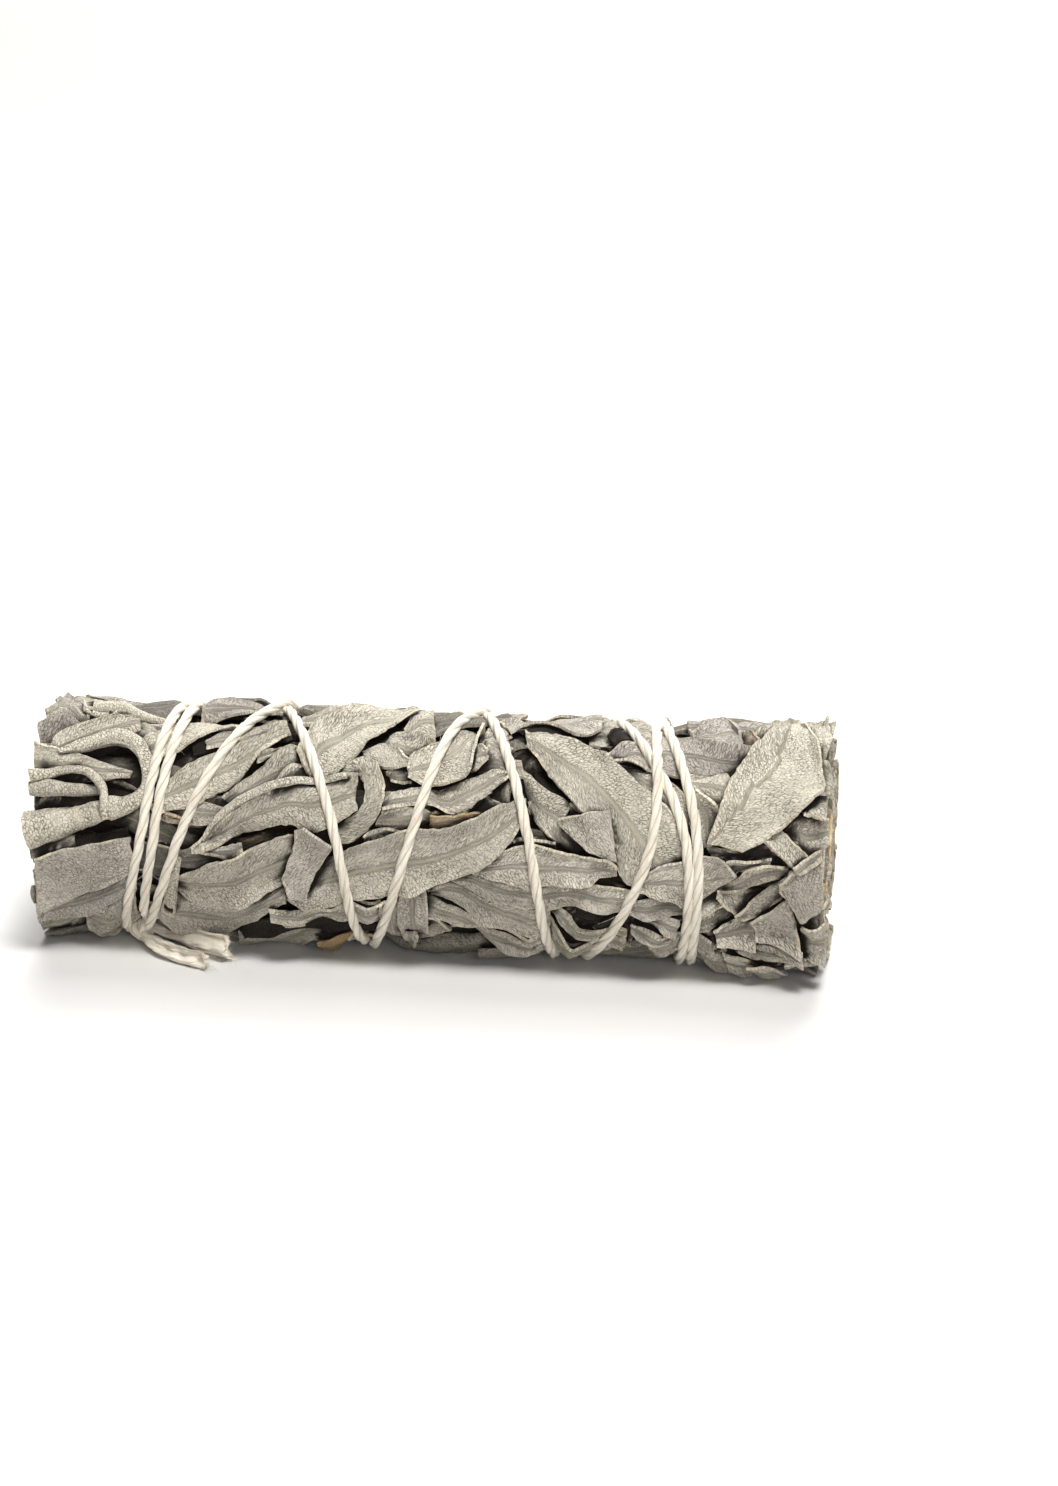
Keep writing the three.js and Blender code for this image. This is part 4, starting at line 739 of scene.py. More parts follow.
def layRoll(roller, number):
    # The tube's middle is lifted to the smallest smooth height at which its section, an ellipse,
    # clears what is already laid. A sleeve makes it thicker at its start and thins out after it.
    form = {**rollForm, **roller}
    rng = np.random.default_rng(3000 + number)
    line = splineThrough(seenAt(form["path"]), curveSteps)
    line = line[np.abs(line[:, 0]) < halfLength - 0.8]
    arc, ahead = measured(line)
    rows = int(np.clip(arc[-1] / 0.4, 12, 110))
    along = np.linspace(0, arc[-1], rows)
    share = along / arc[-1]
    radius = np.interp(share, np.linspace(0, 1, len(form["radius"])), form["radius"])
    radius = radius * (1 + 0.05 * ripples(along / 3, 0 * along, rng))
    rim = np.zeros(rows)
    for start in form["sleeves"]:
        past = (share - start) * arc[-1]
        radius = radius + 0.22 * np.where(past > 0, np.exp(-past / 2.5), 0)
        rim = np.maximum(rim, (past > 0) & (past < 0.55))
    cx, cs = valuesAt(along, arc, line)
    ax, ay = valuesAt(along, arc, ahead)
    v = np.linspace(-0.95, 0.95, 9)[None, :]
    q = radius[:, None] * v
    arched = form["tall"] * radius[:, None] * np.sqrt(1 - v**2)
    x, s = cx[:, None] - ay[:, None] * q, cs[:, None] + ax[:, None] * q
    lowest = (heightAt(laid, x, s) + arched).max(axis=1, keepdims=True) - form["sink"] * radius[:, None]
    height = lowest
    for _ in range(form["stiff"]):
        height = np.maximum(lowest, blurred(np.hstack([height] * 3), 1)[:, 1:2])
    height = blurred(np.hstack([height] * 3), 2)[:, 1]
    raiseLaid(x, s, height[:, None] + arched)

    a = (np.arange(form["sides"]) * 2 * math.pi / form["sides"])[None, :]
    seam = rng.uniform(0.2, 1.2) + 0.25 * ripples(along / 8, 0 * along, rng)[:, None]
    section = 1 - form["groove"] * np.exp(-(((a - seam) / 0.3) ** 2))
    section = section + 0.03 * ripples(along[:, None] / 3, 3 * np.sin(a), rng)
    # both ends are open: each ring's place along, its scale, how far it is set in, its painted shade
    rings = [
        (0, 0.05, 1.2, 1),
        (0, 0.62, 1.2, 1),
        (0, 0.7, 0, 0.2),
        *[(k, 1, 0, 0) for k in range(rows)],
        (rows - 1, 0.7, 0, 0.2),
        (rows - 1, 0.62, -1.2, 1),
        (rows - 1, 0.05, -1.2, 1),
    ]
    at = np.array([ring[0] for ring in rings])
    scale, inset, paintedShade = (np.array([ring[k] for ring in rings])[:, None] for k in (1, 2, 3))
    size = radius[at][:, None] * section[at] * scale
    q, up = size * np.cos(a), form["tall"] * size * np.sin(a)
    x = cx[at][:, None] - ay[at][:, None] * q + ax[at][:, None] * inset
    s = cs[at][:, None] + ax[at][:, None] * q + ay[at][:, None] * inset
    ends = np.zeros((len(at), 1))
    ends[[2, 3, -4, -3]] = 1
    return {
        "x": np.clip(x, -halfLength, halfLength),
        "s": s,
        "r": height[at][:, None] + up,
        "along": along[at][:, None] + 0 * a,
        "q": radius[at][:, None] * a,
        "rim": np.maximum(ends, rim[at][:, None]) + 0 * a,
        "paintedShade": paintedShade + 0 * a,
        "tone": form["tone"],
        "age": form["age"],
        "number": number,
        "tube": True,
    }


foliage = []
print("laying the lower leaves")
for leaf in chanceLeaves(underLeaves):
    leaf["age"] = 0.1 + 0.5 * (len(foliage) * 0.618 % 1)
    foliage.append(layLeaf(leaf, len(foliage)))
print("laying the leaves of the back")
for leaf in chanceLeaves(wrapLeaves):
    foliage.append(layLeaf(leaf, len(foliage)))
for leaf in chanceLeaves(innerLeaves):
    # painted shade: half dark, as these lie in shadow under the leaves of the face that is seen
    leaf["dark"] = 0.5
    foliage.append(layLeaf(leaf, len(foliage)))
print("laying the leaves of the face that is seen")
for leaf in shownLeaves:
    foliage.append(layLeaf(leaf, len(foliage)))
for roller in shownRolls:
    foliage.append(layRoll(roller, len(foliage)))

# one length of twine, wound round the roll
twine = {
    "thick": 1.5,
    "rise": 0.3,  # how far its middle stands over the roll's radius
    "floorGap": 0.45,
    "floorFrom": 0.2,  # the table can limit it where the surface faces down by more than this sine
    "crossingLift": 1.35,  # how far apart two crossing stretches are moved
    "crossingReach": 2.2,
    "shiftLimits": (-1.4, 0.7),
    "stepsPerTurn": 260,
    "knotX": -37.6,
    "knotAngle": -55,
    # where each turn passes the back, the top, the front and the underside, as x
    "turns": [
        (-31.2, -33.6, -35.4, -39.8),
        (-34.6, -32.2, -33.8, -36.6),
        (-26.5, -20.8, -10.9, -7.4),
        (-0.4, 5.6, 13.8, 16.5),
        (18.2, 22.5, 33.6, 31.8),
        (28.4, 28.6, 35, 33.4),
        (32.4, 28.2, 29.2, 19),
        (11.8, 4.4, -0.9, -8.2),
        (-14.8, -21, -30, -38.4),
    ],
}


def windingRoute():
    # x as a smooth curve of the turned angle through the places that each turn passes
    top = 90 + roll["seenFrom"]
    points = [(twine["knotAngle"], twine["knotX"])]
    for turn, places in enumerate(twine["turns"]):
        start = top - 360 * (turn + 1)
        points += [(start + 90 - 90 * k, x) for k, x in enumerate(places)]
    curve = splineThrough(np.array(points, float), len(twine["turns"]) * twine["stepsPerTurn"] + 1)
    return np.radians(curve[:, 0]), curve[:, 1]


def tableRoom(depth, angle, least):
    # the radius that reaches a plane at a depth under the axis: the depth over the sine of how far
    # the surface faces down, and more than is needed where that is under least
    down = -np.sin(angle)
    return np.where(down > least, depth / np.maximum(down, least), 100)


def twineRadius(x, angle):
    # the roll's skin, and no lower than the table leaves room for
    depth = roll["axisHeight"] - twine["thick"] / 2 - twine["floorGap"]
    room = tableRoom(depth, angle, twine["floorFrom"])
    return np.minimum(rollRadius(x) + twine["rise"], room)


def crossingBell(along, place):
    # exp(-(distance / reach)^2) of the distance along the string from a crossing
    return np.exp(-(((along - place) / twine["crossingReach"]) ** 2))


def crossingShift(angle, x):
    # where two stretches cross, the later one is raised and the earlier one pressed in, each by a
    # bell, and near the table the earlier one makes all of the room
    stepLength = around / twine["stepsPerTurn"]
    along = np.arange(len(x)) * stepLength
    shift = np.zeros(len(x))
    for turn in range(1, len(twine["turns"])):
        # the same angle lies this many steps later after some whole turns
        lag = turn * twine["stepsPerTurn"]
        gap = x[lag:] - x[: len(x) - lag]
        for k in np.flatnonzero(gap[:-1] * gap[1:] < 0):
            height = roll["axisHeight"] + rollRadius(x[k]) * math.sin(angle[k])
            lift = twine["crossingLift"] * 0.5 * float(np.clip((height - 2) / 4, 0, 1))
            early, late = crossingBell(along, k * stepLength), crossingBell(along, (k + lag) * stepLength)
            shift += lift * late - (twine["crossingLift"] - lift) * early
    return np.clip(shift, *twine["shiftLimits"])


twineAngle, twineX = windingRoute()
twineR = twineRadius(twineX, twineAngle) + crossingShift(twineAngle, twineX)
print("twine route", len(twineX), "points")


# how the laid leaves are pressed into the roll's shape
press = {
    "evening": 260,  # how often the height is blurred to find its broad form
    "inner": 6.0,  # how deep under the skin the leaves no longer move
    "twineBite": 0.35,  # how far the groove's floor lies under the middle of the twine
    "twineHalf": 0.55,  # half the width of the groove's floor
    "twineSlope": 0.75,
    "reach": 3.6,  # how far from the twine the groove's sides go
    "lid": 1.4,  # how far leaves may stand over the roll's radius on top
    "lidFrom": 0.7,  # where the top starts, as the sine of how far the surface faces up
    "tableGap": 0.25,
    "tableFrom": 0.3,
    "skyHeadings": 16,
    "skyReaches": (0.3, 0.6, 0.9, 1.3, 1.9),
}


def leafRoom(s):
    # the radius at which a leaf reaches the table
    return tableRoom(roll["axisHeight"] - press["tableGap"], s / roll["radius"], press["tableFrom"])


def pressMap():
    # how far the top of the leaves is pushed in at each place: to the skin of the roll on the
    # whole, and to a groove under the twine whose sides rise with a slope, and to the table
    x, s = np.meshgrid(fieldX, fieldS, indexing="ij")
    broad = blurred(laid, press["evening"], wrap=True) - rollRadius(x) - roll["skin"]
    top = laid - broad
    cap = np.full(laid.shape, 100.0)
    reach = int(press["reach"] / field["cell"])
    di, dj = np.meshgrid(np.arange(-reach, reach + 1), np.arange(-reach, reach + 1), indexing="ij")
    i, j = fieldCell(twineX, twineAngle * roll["radius"])
    i0, j0 = np.rint(i).astype(int)[:, None, None], np.rint(j).astype(int)[:, None, None]
    away = np.hypot(i0 + di - i[:, None, None], j0 + dj - j[:, None, None]) * field["cell"]
    groove = twineR[:, None, None] - press["twineBite"]
    groove = groove + press["twineSlope"] * np.maximum(away - press["twineHalf"], 0)
    cells = (np.clip(i0 + di, 0, len(fieldX) - 1), (j0 + dj) % len(fieldS))
    np.minimum.at(cap, cells, groove)
    down = -np.sin(s / roll["radius"])
    lid = np.where(down < -press["lidFrom"], rollRadius(x) + press["lid"], 100)
    cap = np.minimum(cap, np.minimum(leafRoom(s), lid))
    return broad, blurred(np.maximum(top - cap, 0), 1, wrap=True), top


broadPress, sharpPress, pressedTop = pressMap()
coverHeight = blurred(pressedTop - sharpPress, 1, wrap=True)


def shadedness():
    # the share of the sky hidden by the leaves around: the mean sine of the horizon's angle over
    # some headings, each the largest of rise / distance at some distances
    top = pressedTop - sharpPress
    total = np.zeros(top.shape)
    headings = press["skyHeadings"]
    for heading in np.arange(headings) * math.pi / (headings / 2):
        horizon = np.zeros(top.shape)
        for reach in press["skyReaches"]:
            di = round(reach * math.cos(heading) / field["cell"])
            dj = round(reach * math.sin(heading) / field["cell"])
            rise = np.roll(top, (di, dj), (0, 1)) - top
            horizon = np.maximum(horizon, rise / np.hypot(reach, rise))
        total += horizon
    return total / headings


shade = shadedness()


def pressed(x, s, r):
    # the broad push moves the outer layers together; the sharp one shares out over the layers
    # in proportion to their height above an inner radius
    inner = rollRadius(x) - press["inner"]
    share = np.clip((r - inner) / press["inner"], 0, 1.3)
    r = r - heightAt(broadPress, x, s) * np.minimum(share, 1)
    top = np.maximum(heightAt(pressedTop, x, s), inner + 0.5)
    share = np.clip((r - inner) / (top - inner), 0, 1)
    r = r - heightAt(sharpPress, x, s) * share
    return np.minimum(r, leafRoom(s))


def added(name, data):
    # a new object in the scene
    thing = bpy.data.objects.new(name, data)
    bpy.context.scene.collection.objects.link(thing)
    return thing


def meshObject(name, points, faceSets, layers, material, sharp=40):
    # one mesh from arrays of points in metres and faces, with its point attributes and UV maps
    mesh = bpy.data.meshes.new(name)
    placed = points + axisPlace * mm
    mesh.from_pydata(placed.tolist(), [], [face for faces in faceSets for face in faces.tolist()])
    corners = np.empty(len(mesh.loops), int)
    mesh.loops.foreach_get("vertex_index", corners)
    for key, values in layers.items():
        if values.shape[1] == 2:
            mesh.uv_layers.new(name=key).data.foreach_set("uv", values[corners].astype(np.float32).ravel())
        else:
            layer = mesh.color_attributes.new(key, "FLOAT_COLOR", "POINT")
            layer.data.foreach_set("color", values.astype(np.float32).ravel())
    mesh.polygons.foreach_set("use_smooth", np.ones(len(mesh.polygons), bool))
    mesh.set_sharp_from_angle(angle=math.radians(sharp))
    mesh.materials.append(material)
    piece = added(name, mesh)
    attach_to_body(piece, "root")
    return piece


def gridFaces(rows, columns):
    # quads between neighbouring rows and columns of a grid
    k = np.arange((rows - 1) * columns).reshape(rows - 1, columns)[:, :-1]
    return stacked(k, k + columns, k + columns + 1, k + 1).reshape(-1, 4)


def tubeFaces(rows, columns):
    # quads between neighbouring rings
    k = np.arange((rows - 1) * columns).reshape(rows - 1, columns)
    after = np.roll(k, -1, axis=1)
    return stacked(k, after, after + columns, k + columns).reshape(-1, 4)


def slabFaces(rows, columns):
    # both faces of a grid and its rim, the second face numbered after the first
    n = rows * columns
    upper = gridFaces(rows, columns)
    lower = upper[:, ::-1] + n
    k = np.arange(n).reshape(rows, columns)
    rim = np.concatenate([k[0, :-1], k[:-1, -1], k[-1, :0:-1], k[:0:-1, 0]])
    after = np.roll(rim, -1)
    sides = stacked(rim, after, after + n, rim + n)
    return np.concatenate([upper, lower, sides])


def poleCaps(rows, columns):
    # triangles from a tube's first and last ring to the two points that are numbered after it
    first = np.arange(columns)
    last = first + (rows - 1) * columns
    n = rows * columns
    start = stacked(np.roll(first, -1), first, np.full(columns, n))
    end = stacked(last, np.roll(last, -1), np.full(columns, n + 1))
    return np.concatenate([start, end])


def unit(vectors):
    # the vectors at a length of 1
    return vectors / np.linalg.norm(vectors, axis=1)[:, None]


def unitNormals(p):
    # the cross product of a grid's two directions
    n = np.cross(np.gradient(p, axis=0), np.gradient(p, axis=1))
    return n / np.maximum(np.linalg.norm(n, axis=-1, keepdims=True), 1e-12)


def outward(points, faces):
    # turns the faces if they enclose a negative volume
    a, b, c, d = (points[faces[:, k]] for k in range(4))
    volume = np.einsum("ij,ij->", a, np.cross(b, c)) + np.einsum("ij,ij->", a, np.cross(c, d))
    return faces[:, ::-1] if volume < 0 else faces


def doubled(values):
    # the values of a grid's points for both faces of a slab
    return np.concatenate([values.reshape(-1, values.shape[-1])] * 2)


def greyOf(values):
    # the values as opaque greys
    return stacked(values, values, values, 1 + 0 * values)


def leafSolid(leaf):
    # the blade's points moved half its thickness to both sides. Shade is painted on it, nearly black,
    # deep in the roll, under leaves that cover it, in crevices that hide the sky and where it is given
    # a dark value, and less of it near the roll's cut ends.
    r = pressed(leaf["x"], leaf["s"], leaf["r"])
    flat = stacked(leaf["x"], leaf["s"], r)
    normal = unitNormals(flat)
    both = []
    for side in (0.5, -0.5):
        p = flat + normal * leaf["thick"] * side
        both.append(rolledUp(p[..., 0], p[..., 1], p[..., 2]).reshape(-1, 3))
    points = np.concatenate(both)
    rows, columns = r.shape
    faces = outward(points, slabFaces(rows, columns))
    rim = np.zeros((rows, columns))
    rim[0] = rim[-1] = rim[:, 0] = rim[:, -1] = 1
    # painted shade from lying under a covering leaf, deep under the skin or in a crevice
    below = heightAt(coverHeight, leaf["x"], leaf["s"]) - r
    deep = smoothStep(1.2, 2.6, rollRadius(leaf["x"]) - r)
    creviceShade = 0.95 * smoothStep(0.24, 0.66, heightAt(shade, leaf["x"], leaf["s"]))
    paintedShade = np.maximum(smoothStep(0.4, 1.0, below), np.maximum(0.95 * deep, creviceShade))
    paintedShade = np.maximum(paintedShade, leaf["dark"])
    paintedShade = paintedShade * (0.3 + 0.7 * smoothStep(0.2, 1.8, halfLength - np.abs(leaf["x"])))
    shift = np.random.default_rng(leaf["number"]).uniform(0, 200, 2)
    tone = [np.full(r.shape, value) for value in (*leaf["tone"], leaf["age"])]
    aside = np.abs(leaf["q"])
    slanted = [leaf["along"] - 0.85 * aside + shift[0], aside + 4 * np.sign(leaf["q"]) + shift[1]]
    layers = {
        "grain": stacked(leaf["along"] + shift[0], leaf["q"] + shift[1]),
        "blade": stacked(leaf["t"], leaf["v"]),
        "web": stacked(*slanted),
        "leafTone": stacked(*tone, rim),
        "leafShade": greyOf(paintedShade),
    }
    return points, faces, {key: doubled(values) for key, values in layers.items()}


def rollSolid(leaf):
    # the rings of a rolled leaf as a closed tube, with its attributes
    r = pressed(leaf["x"], leaf["s"], leaf["r"])
    rows, sides = r.shape
    points = rolledUp(leaf["x"], leaf["s"], r).reshape(-1, 3)
    # the small rings at both ends are closed by a strip of quads across each
    k = np.arange(sides // 2 - 1)
    strip = stacked(k, k + 1, sides - 2 - k, sides - 1 - k)
    faces = np.concatenate([tubeFaces(rows, sides), strip[:, ::-1], strip + (rows - 1) * sides])
    faces = outward(points, faces)
    shift = np.random.default_rng(leaf["number"]).uniform(0, 200, 2)
    tone = [np.full(r.shape, value) for value in (*leaf["tone"], leaf["age"])]
    grain = stacked(leaf["along"] + shift[0], leaf["q"] + shift[1])
    layers = {
        "grain": grain,
        "web": grain,
        "blade": stacked(leaf["along"] + 0.9, 0.6 + 0 * r),
        "leafTone": stacked(*tone, leaf["rim"]),
        # painted shade inside the tube's open ends
        "leafShade": greyOf(leaf["paintedShade"]),
    }
    return points, faces, {key: values.reshape(rows * sides, -1) for key, values in layers.items()}


def gathered(solids):
    # several solids' points and their two kinds of faces as one
    starts = np.cumsum([0] + [len(solid[0]) for solid in solids[:-1]])
    points = np.concatenate([solid[0] for solid in solids])
    faces = [np.concatenate([solid[k] + start for solid, start in zip(solids, starts)]) for k in (1, 2)]
    return points, faces


def joined(parts):
    # several solids' points, faces and layers as one
    starts = np.cumsum([0] + [len(p) for p, _, _ in parts[:-1]])
    points = np.concatenate([p for p, _, _ in parts])
    faces = np.concatenate([f + k for (_, f, _), k in zip(parts, starts)])
    layers = {key: np.concatenate([layer[key] for _, _, layer in parts]) for key in parts[0][2]}
    return points, faces, layers


class Wire:
    # a node's output that can be used in Python expressions
    def __init__(self, tree, socket):
        self.tree = tree
        self.socket = socket

    def node(self, kind, settings, inputs, output=0):
        # a new node by its type, its settings, and the values or wires of its inputs
        made = self.tree.nodes.new(kind)
        for key, value in settings.items():
            setattr(made, key, value)
        for key, value in inputs.items():
            if isinstance(value, Wire):
                self.tree.links.new(value.socket, made.inputs[key])
            else:
                made.inputs[key].default_value = value
        return Wire(self.tree, made.outputs[output])

    def maths(self, operation, *values):
        # one step of arithmetic as a node
        return self.node("ShaderNodeMath", {"operation": operation}, dict(enumerate(values)))

    def __add__(self, other):
        return self.maths("ADD", self, other)

    def __radd__(self, other):
        return self.maths("ADD", other, self)

    def __sub__(self, other):
        return self.maths("SUBTRACT", self, other)

    def __rsub__(self, other):
        return self.maths("SUBTRACT", other, self)

    def __mul__(self, other):
        return self.maths("MULTIPLY", self, other)

    def __rmul__(self, other):
        return self.maths("MULTIPLY", other, self)

    def __truediv__(self, other):
        return self.maths("DIVIDE", self, other)

    def __rtruediv__(self, other):
        return self.maths("DIVIDE", other, self)

    def between(self, low, high):
        # 0 to 1 as the value goes from low to high
        inputs = {"Value": self, "From Min": low, "From Max": high}
        return self.node("ShaderNodeMapRange", {"interpolation_type": "SMOOTHSTEP"}, inputs)

    def blend(self, first, second):
        # the first colour where this is 0, the second where it is 1
        settings = {"data_type": "RGBA"}
        return self.node("ShaderNodeMix", settings, {0: self, 6: first, 7: second}, 2)


def newMaterial(name, roughness):
    # a material, its shader and a wire that starts new nodes in its tree
    material = bpy.data.materials.new(name)
    material.use_nodes = True
    shader = material.node_tree.nodes["Principled BSDF"]
    shader.inputs["Roughness"].default_value = roughness
    return material, shader, Wire(material.node_tree, None)


def attach(shader, name, wire):
    # the wire drives one of the shader's inputs
    wire.tree.links.new(wire.socket, shader.inputs[name])


# the leaf's colours, and its texture in mm
leafLook = {
    "greyGreen": (0.45, 0.425, 0.345, 1),
    "warmGrey": (0.7, 0.645, 0.53, 1),
    "coolGrey": (0.46, 0.42, 0.39, 1),
    "margin": (0.68, 0.59, 0.43, 1),
    # painted shade: the nearly black colour of leaves in shadow deep in the roll, under others or in
    # crevices
    "deep": (0.016, 0.01, 0.006, 1),
    "tan": (0.36, 0.24, 0.115, 1),
    "vein": (0.74, 0.66, 0.48, 1),
    # painted shade of fine pits and creases, mixed with the felt's own darker speckle
    "feltAndCreaseShade": (0.17, 0.15, 0.108, 1),
    "wrinkles": (3.6, 2.1, 1.0),  # how often they come in a mm along and across a side vein
    "net": (3.0, 1.9, 1.0),
    "veinSpacing": 2.7,
    "veinLead": 3.0,  # how far ahead a side vein is at the leaf's edge
    "relief": 0.0003,  # in m
}


def leafMaterial():
    # grey-green to warm grey by leaf and by patch, with pale veins and margins and brown with age; painted
    # shade darkens its fine pits and creases, along with the felt's own speckle, and makes it nearly black
    # where it lies deep in the roll, covered or in a crevice
    material, shader, w = newMaterial("sage_leaf", 0.85)
    shader.inputs["Sheen Weight"].default_value = 0.05
    shader.inputs["Sheen Roughness"].default_value = 0.6
    shader.inputs["Specular IOR Level"].default_value = 0.1
    # the maps hold mm: along and across a leaf, and along and across its side veins
    grain = w.node("ShaderNodeUVMap", {"uv_map": "grain"}, {})
    blade = w.node("ShaderNodeUVMap", {"uv_map": "blade"}, {})
    web = w.node("ShaderNodeUVMap", {"uv_map": "web"}, {})
    tone = w.node("ShaderNodeAttribute", {"attribute_name": "leafTone"}, {})
    edge = w.node("ShaderNodeAttribute", {"attribute_name": "leafTone"}, {}, 3)
    paintedShade = w.node("ShaderNodeAttribute", {"attribute_name": "leafShade"}, {}, 2)
    tones = {"lightness": 0, "hue": 1, "age": 2}
    parts = {k: w.node("ShaderNodeSeparateColor", {}, {"Color": tone}, i) for k, i in tones.items()}
    base = w.node("ShaderNodeSeparateXYZ", {}, {"Vector": blade}, 0)
    side = w.node("ShaderNodeSeparateXYZ", {}, {"Vector": blade}, 1)
    # fine wrinkles that run with the side veins: dark where a stretched noise is near its middle
    squeezed = w.node("ShaderNodeVectorMath", {"operation": "MULTIPLY"}, {0: web, 1: leafLook["wrinkles"]})
    texture = {"Vector": squeezed, "Scale": 1.0, "Detail": 1.0, "Distortion": 0.3}
    ripple = w.node("ShaderNodeTexNoise", {}, texture)
    wrinkles = w.node("ShaderNodeTexNoise", {}, {"Vector": squeezed, "Scale": 0.35, "Detail": 2.0})
    felt = w.node("ShaderNodeTexNoise", {}, {"Vector": grain, "Scale": 5.0, "Detail": 2.0})
    patches = w.node("ShaderNodeTexNoise", {}, {"Vector": grain, "Scale": 0.22, "Detail": 3.0})
    off = ripple - 0.5
    lines = 1 - off.maths("ABSOLUTE", off).between(0.0, 0.1)
    # and a net of short cells, dark at their edges
    meshes = w.node("ShaderNodeVectorMath", {"operation": "MULTIPLY"}, {0: web, 1: leafLook["net"]})
    bent = w.node("ShaderNodeTexNoise", {}, {"Vector": meshes, "Scale": 0.7, "Detail": 1.0}, 1)
    meshes = w.node("ShaderNodeVectorMath", {"operation": "ADD"}, {0: meshes, 1: bent})
    cells = {"Vector": meshes, "Scale": 1.0}
    net = w.node("ShaderNodeTexVoronoi", {"feature": "DISTANCE_TO_EDGE"}, cells)
    net = 1 - net.between(0.0, 0.19)
    pits = (net * 0.75 + lines * 0.3) * (0.75 + 0.25 * patches.between(0.38, 0.6))
    # side veins: lines where (distance along - lead |v|) is a multiple of their spacing
    reach = side.maths("ABSOLUTE", side)
    phase = (base - reach * leafLook["veinLead"]) / leafLook["veinSpacing"]
    near = phase.maths("PINGPONG", phase, 0.5) * 2.0
    sideVein = (1 - near.between(0.03, 0.15)) * 0.4
    midVein = 1 - reach.between(0.015, 0.075)
    veins = sideVein.maths("MAXIMUM", sideVein, midVein)

    colour = parts["hue"].blend(leafLook["coolGrey"], leafLook["greyGreen"])
    lightness = parts["lightness"] * 1.1 + patches * 0.4 - 0.28
    colour = lightness.between(0.0, 1.0).blend(colour, leafLook["warmGrey"])
    colour = (veins * 0.7).blend(colour, leafLook["vein"])
    # painted shade in the fine pits, net and wrinkles, with the felt's own darker speckle
    dark = (pits * 0.95 + felt * 0.35 - 0.2 + (wrinkles - 0.5) * 0.5) * (1 - veins * 0.7)
    colour = dark.between(0.0, 1.1).blend(colour, leafLook["feltAndCreaseShade"])
    colour = (edge * patches.between(0.35, 0.65) * 0.65).blend(colour, leafLook["margin"])
    colour = (parts["age"] * 1.1 + patches * 0.8 - 0.55).between(0.0, 0.9).blend(colour, leafLook["tan"])
    # painted shade, nearly black where the leafShade attribute says the leaf lies in shadow
    colour = paintedShade.between(0.0, 1.0).blend(colour, leafLook["deep"])
    attach(shader, "Base Color", colour)
    height = (1 - pits) * 0.5 + felt * 0.35 + veins * 0.1 + wrinkles * 0.6
    relief = {"Height": height, "Strength": 1.0, "Distance": leafLook["relief"]}
    bump = w.node("ShaderNodeBump", {}, relief)
    attach(shader, "Normal", bump)
    return material


sageLeaf = leafMaterial()
sprigTurns = [52, 136, 210, 270, 342]  # where each sprig starts, degrees from the back over the top


def sprigOf(leaf):
    # the sprig whose sector of the roll holds the middle of the leaf
    turn = (180 - math.degrees(float(np.mean(leaf["s"])) / roll["radius"])) % 360
    starts = np.array(sprigTurns)
    return int(np.argmin((turn - starts) % 360)) + 1


for sprig in range(1, len(sprigTurns) + 1):
    own = [leaf for leaf in foliage if sprigOf(leaf) == sprig]
    parts = [rollSolid(leaf) if "tube" in leaf else leafSolid(leaf) for leaf in own]
    points, faces, layers = joined(parts)
    piece = meshObject(f"sprig_{sprig}_foliage", points, [faces], layers, sageLeaf)
    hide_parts(f"sprig_{sprig}_leaves")
    print(piece.name, len(parts), "leaves", len(faces) * 2, "triangles")

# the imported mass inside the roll
packedCore = {"below": 0.35, "recess": 2.6, "rows": 84, "columns": 80, "shrink": [0.02, 0.3, 0.6, 0.9]}


def buildCore():
    # the height that the first leaves lay on, pressed as they are, and closed at both ends by
    # rings that shrink to the axis
    reach = halfLength - packedCore["recess"]
    x = np.linspace(-reach, reach, packedCore["rows"])
    s = np.arange(packedCore["columns"]) * around / packedCore["columns"]
    x, s = np.meshgrid(x, s, indexing="ij")
    r = pressed(x, s, heightAt(coreLaid, x, s) - packedCore["below"])
    shrink = np.array(packedCore["shrink"])[:, None]
    n = len(shrink)
    x, s = (np.concatenate([grid[:1].repeat(n, 0), grid, grid[-1:].repeat(n, 0)]) for grid in (x, s))
    r = np.concatenate([r[:1] * shrink, r, r[-1:] * shrink[::-1]])
    poles = np.array([[-reach, 0, roll["axisHeight"]], [reach, 0, roll["axisHeight"]]]) * mm
    points = np.concatenate([rolledUp(x, s, r).reshape(-1, 3), poles])
    faces = [tubeFaces(*x.shape)[:, ::-1], poleCaps(*x.shape)[:, ::-1]]
    grain = np.column_stack([points[:, 0], points[:, 1] + points[:, 2]]) * 1000
    layers = {
        "grain": grain,
        "blade": np.tile([5.0, 0.5], (len(points), 1)),
        "web": grain,
        "leafTone": np.tile([0.2, 0.5, 1.0, 0.0], (len(points), 1)),
        # painted shade: the core is coloured nearly black over brown, as it lies in shadow inside the roll
        "leafShade": np.tile([0.8, 0.8, 0.8, 1.0], (len(points), 1)),
    }
    piece = meshObject("packed_core", points, faces, layers, sageLeaf)


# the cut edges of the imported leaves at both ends
endFolds = {
    "rings": 13,
    "firstRadius": 1.3,
    "spacing": 0.92,
    "pieceLength": (6.0, 17.0),
    "overlap": 0.93,  # where the next piece of a ring starts, as a share of the one before
    "step": 0.32,
    "thick": 0.36,
    "depth": 3.4,  # how far it goes into the roll
    "tip": (0.0, 1.5),  # how far a fold stops short of the roll's end
    "wave": 0.34,
    "warp": 0.9,
    "hook": 1.4,  # how far a piece bends out of its ring at its two ends
    "hookLength": 0.9,
}

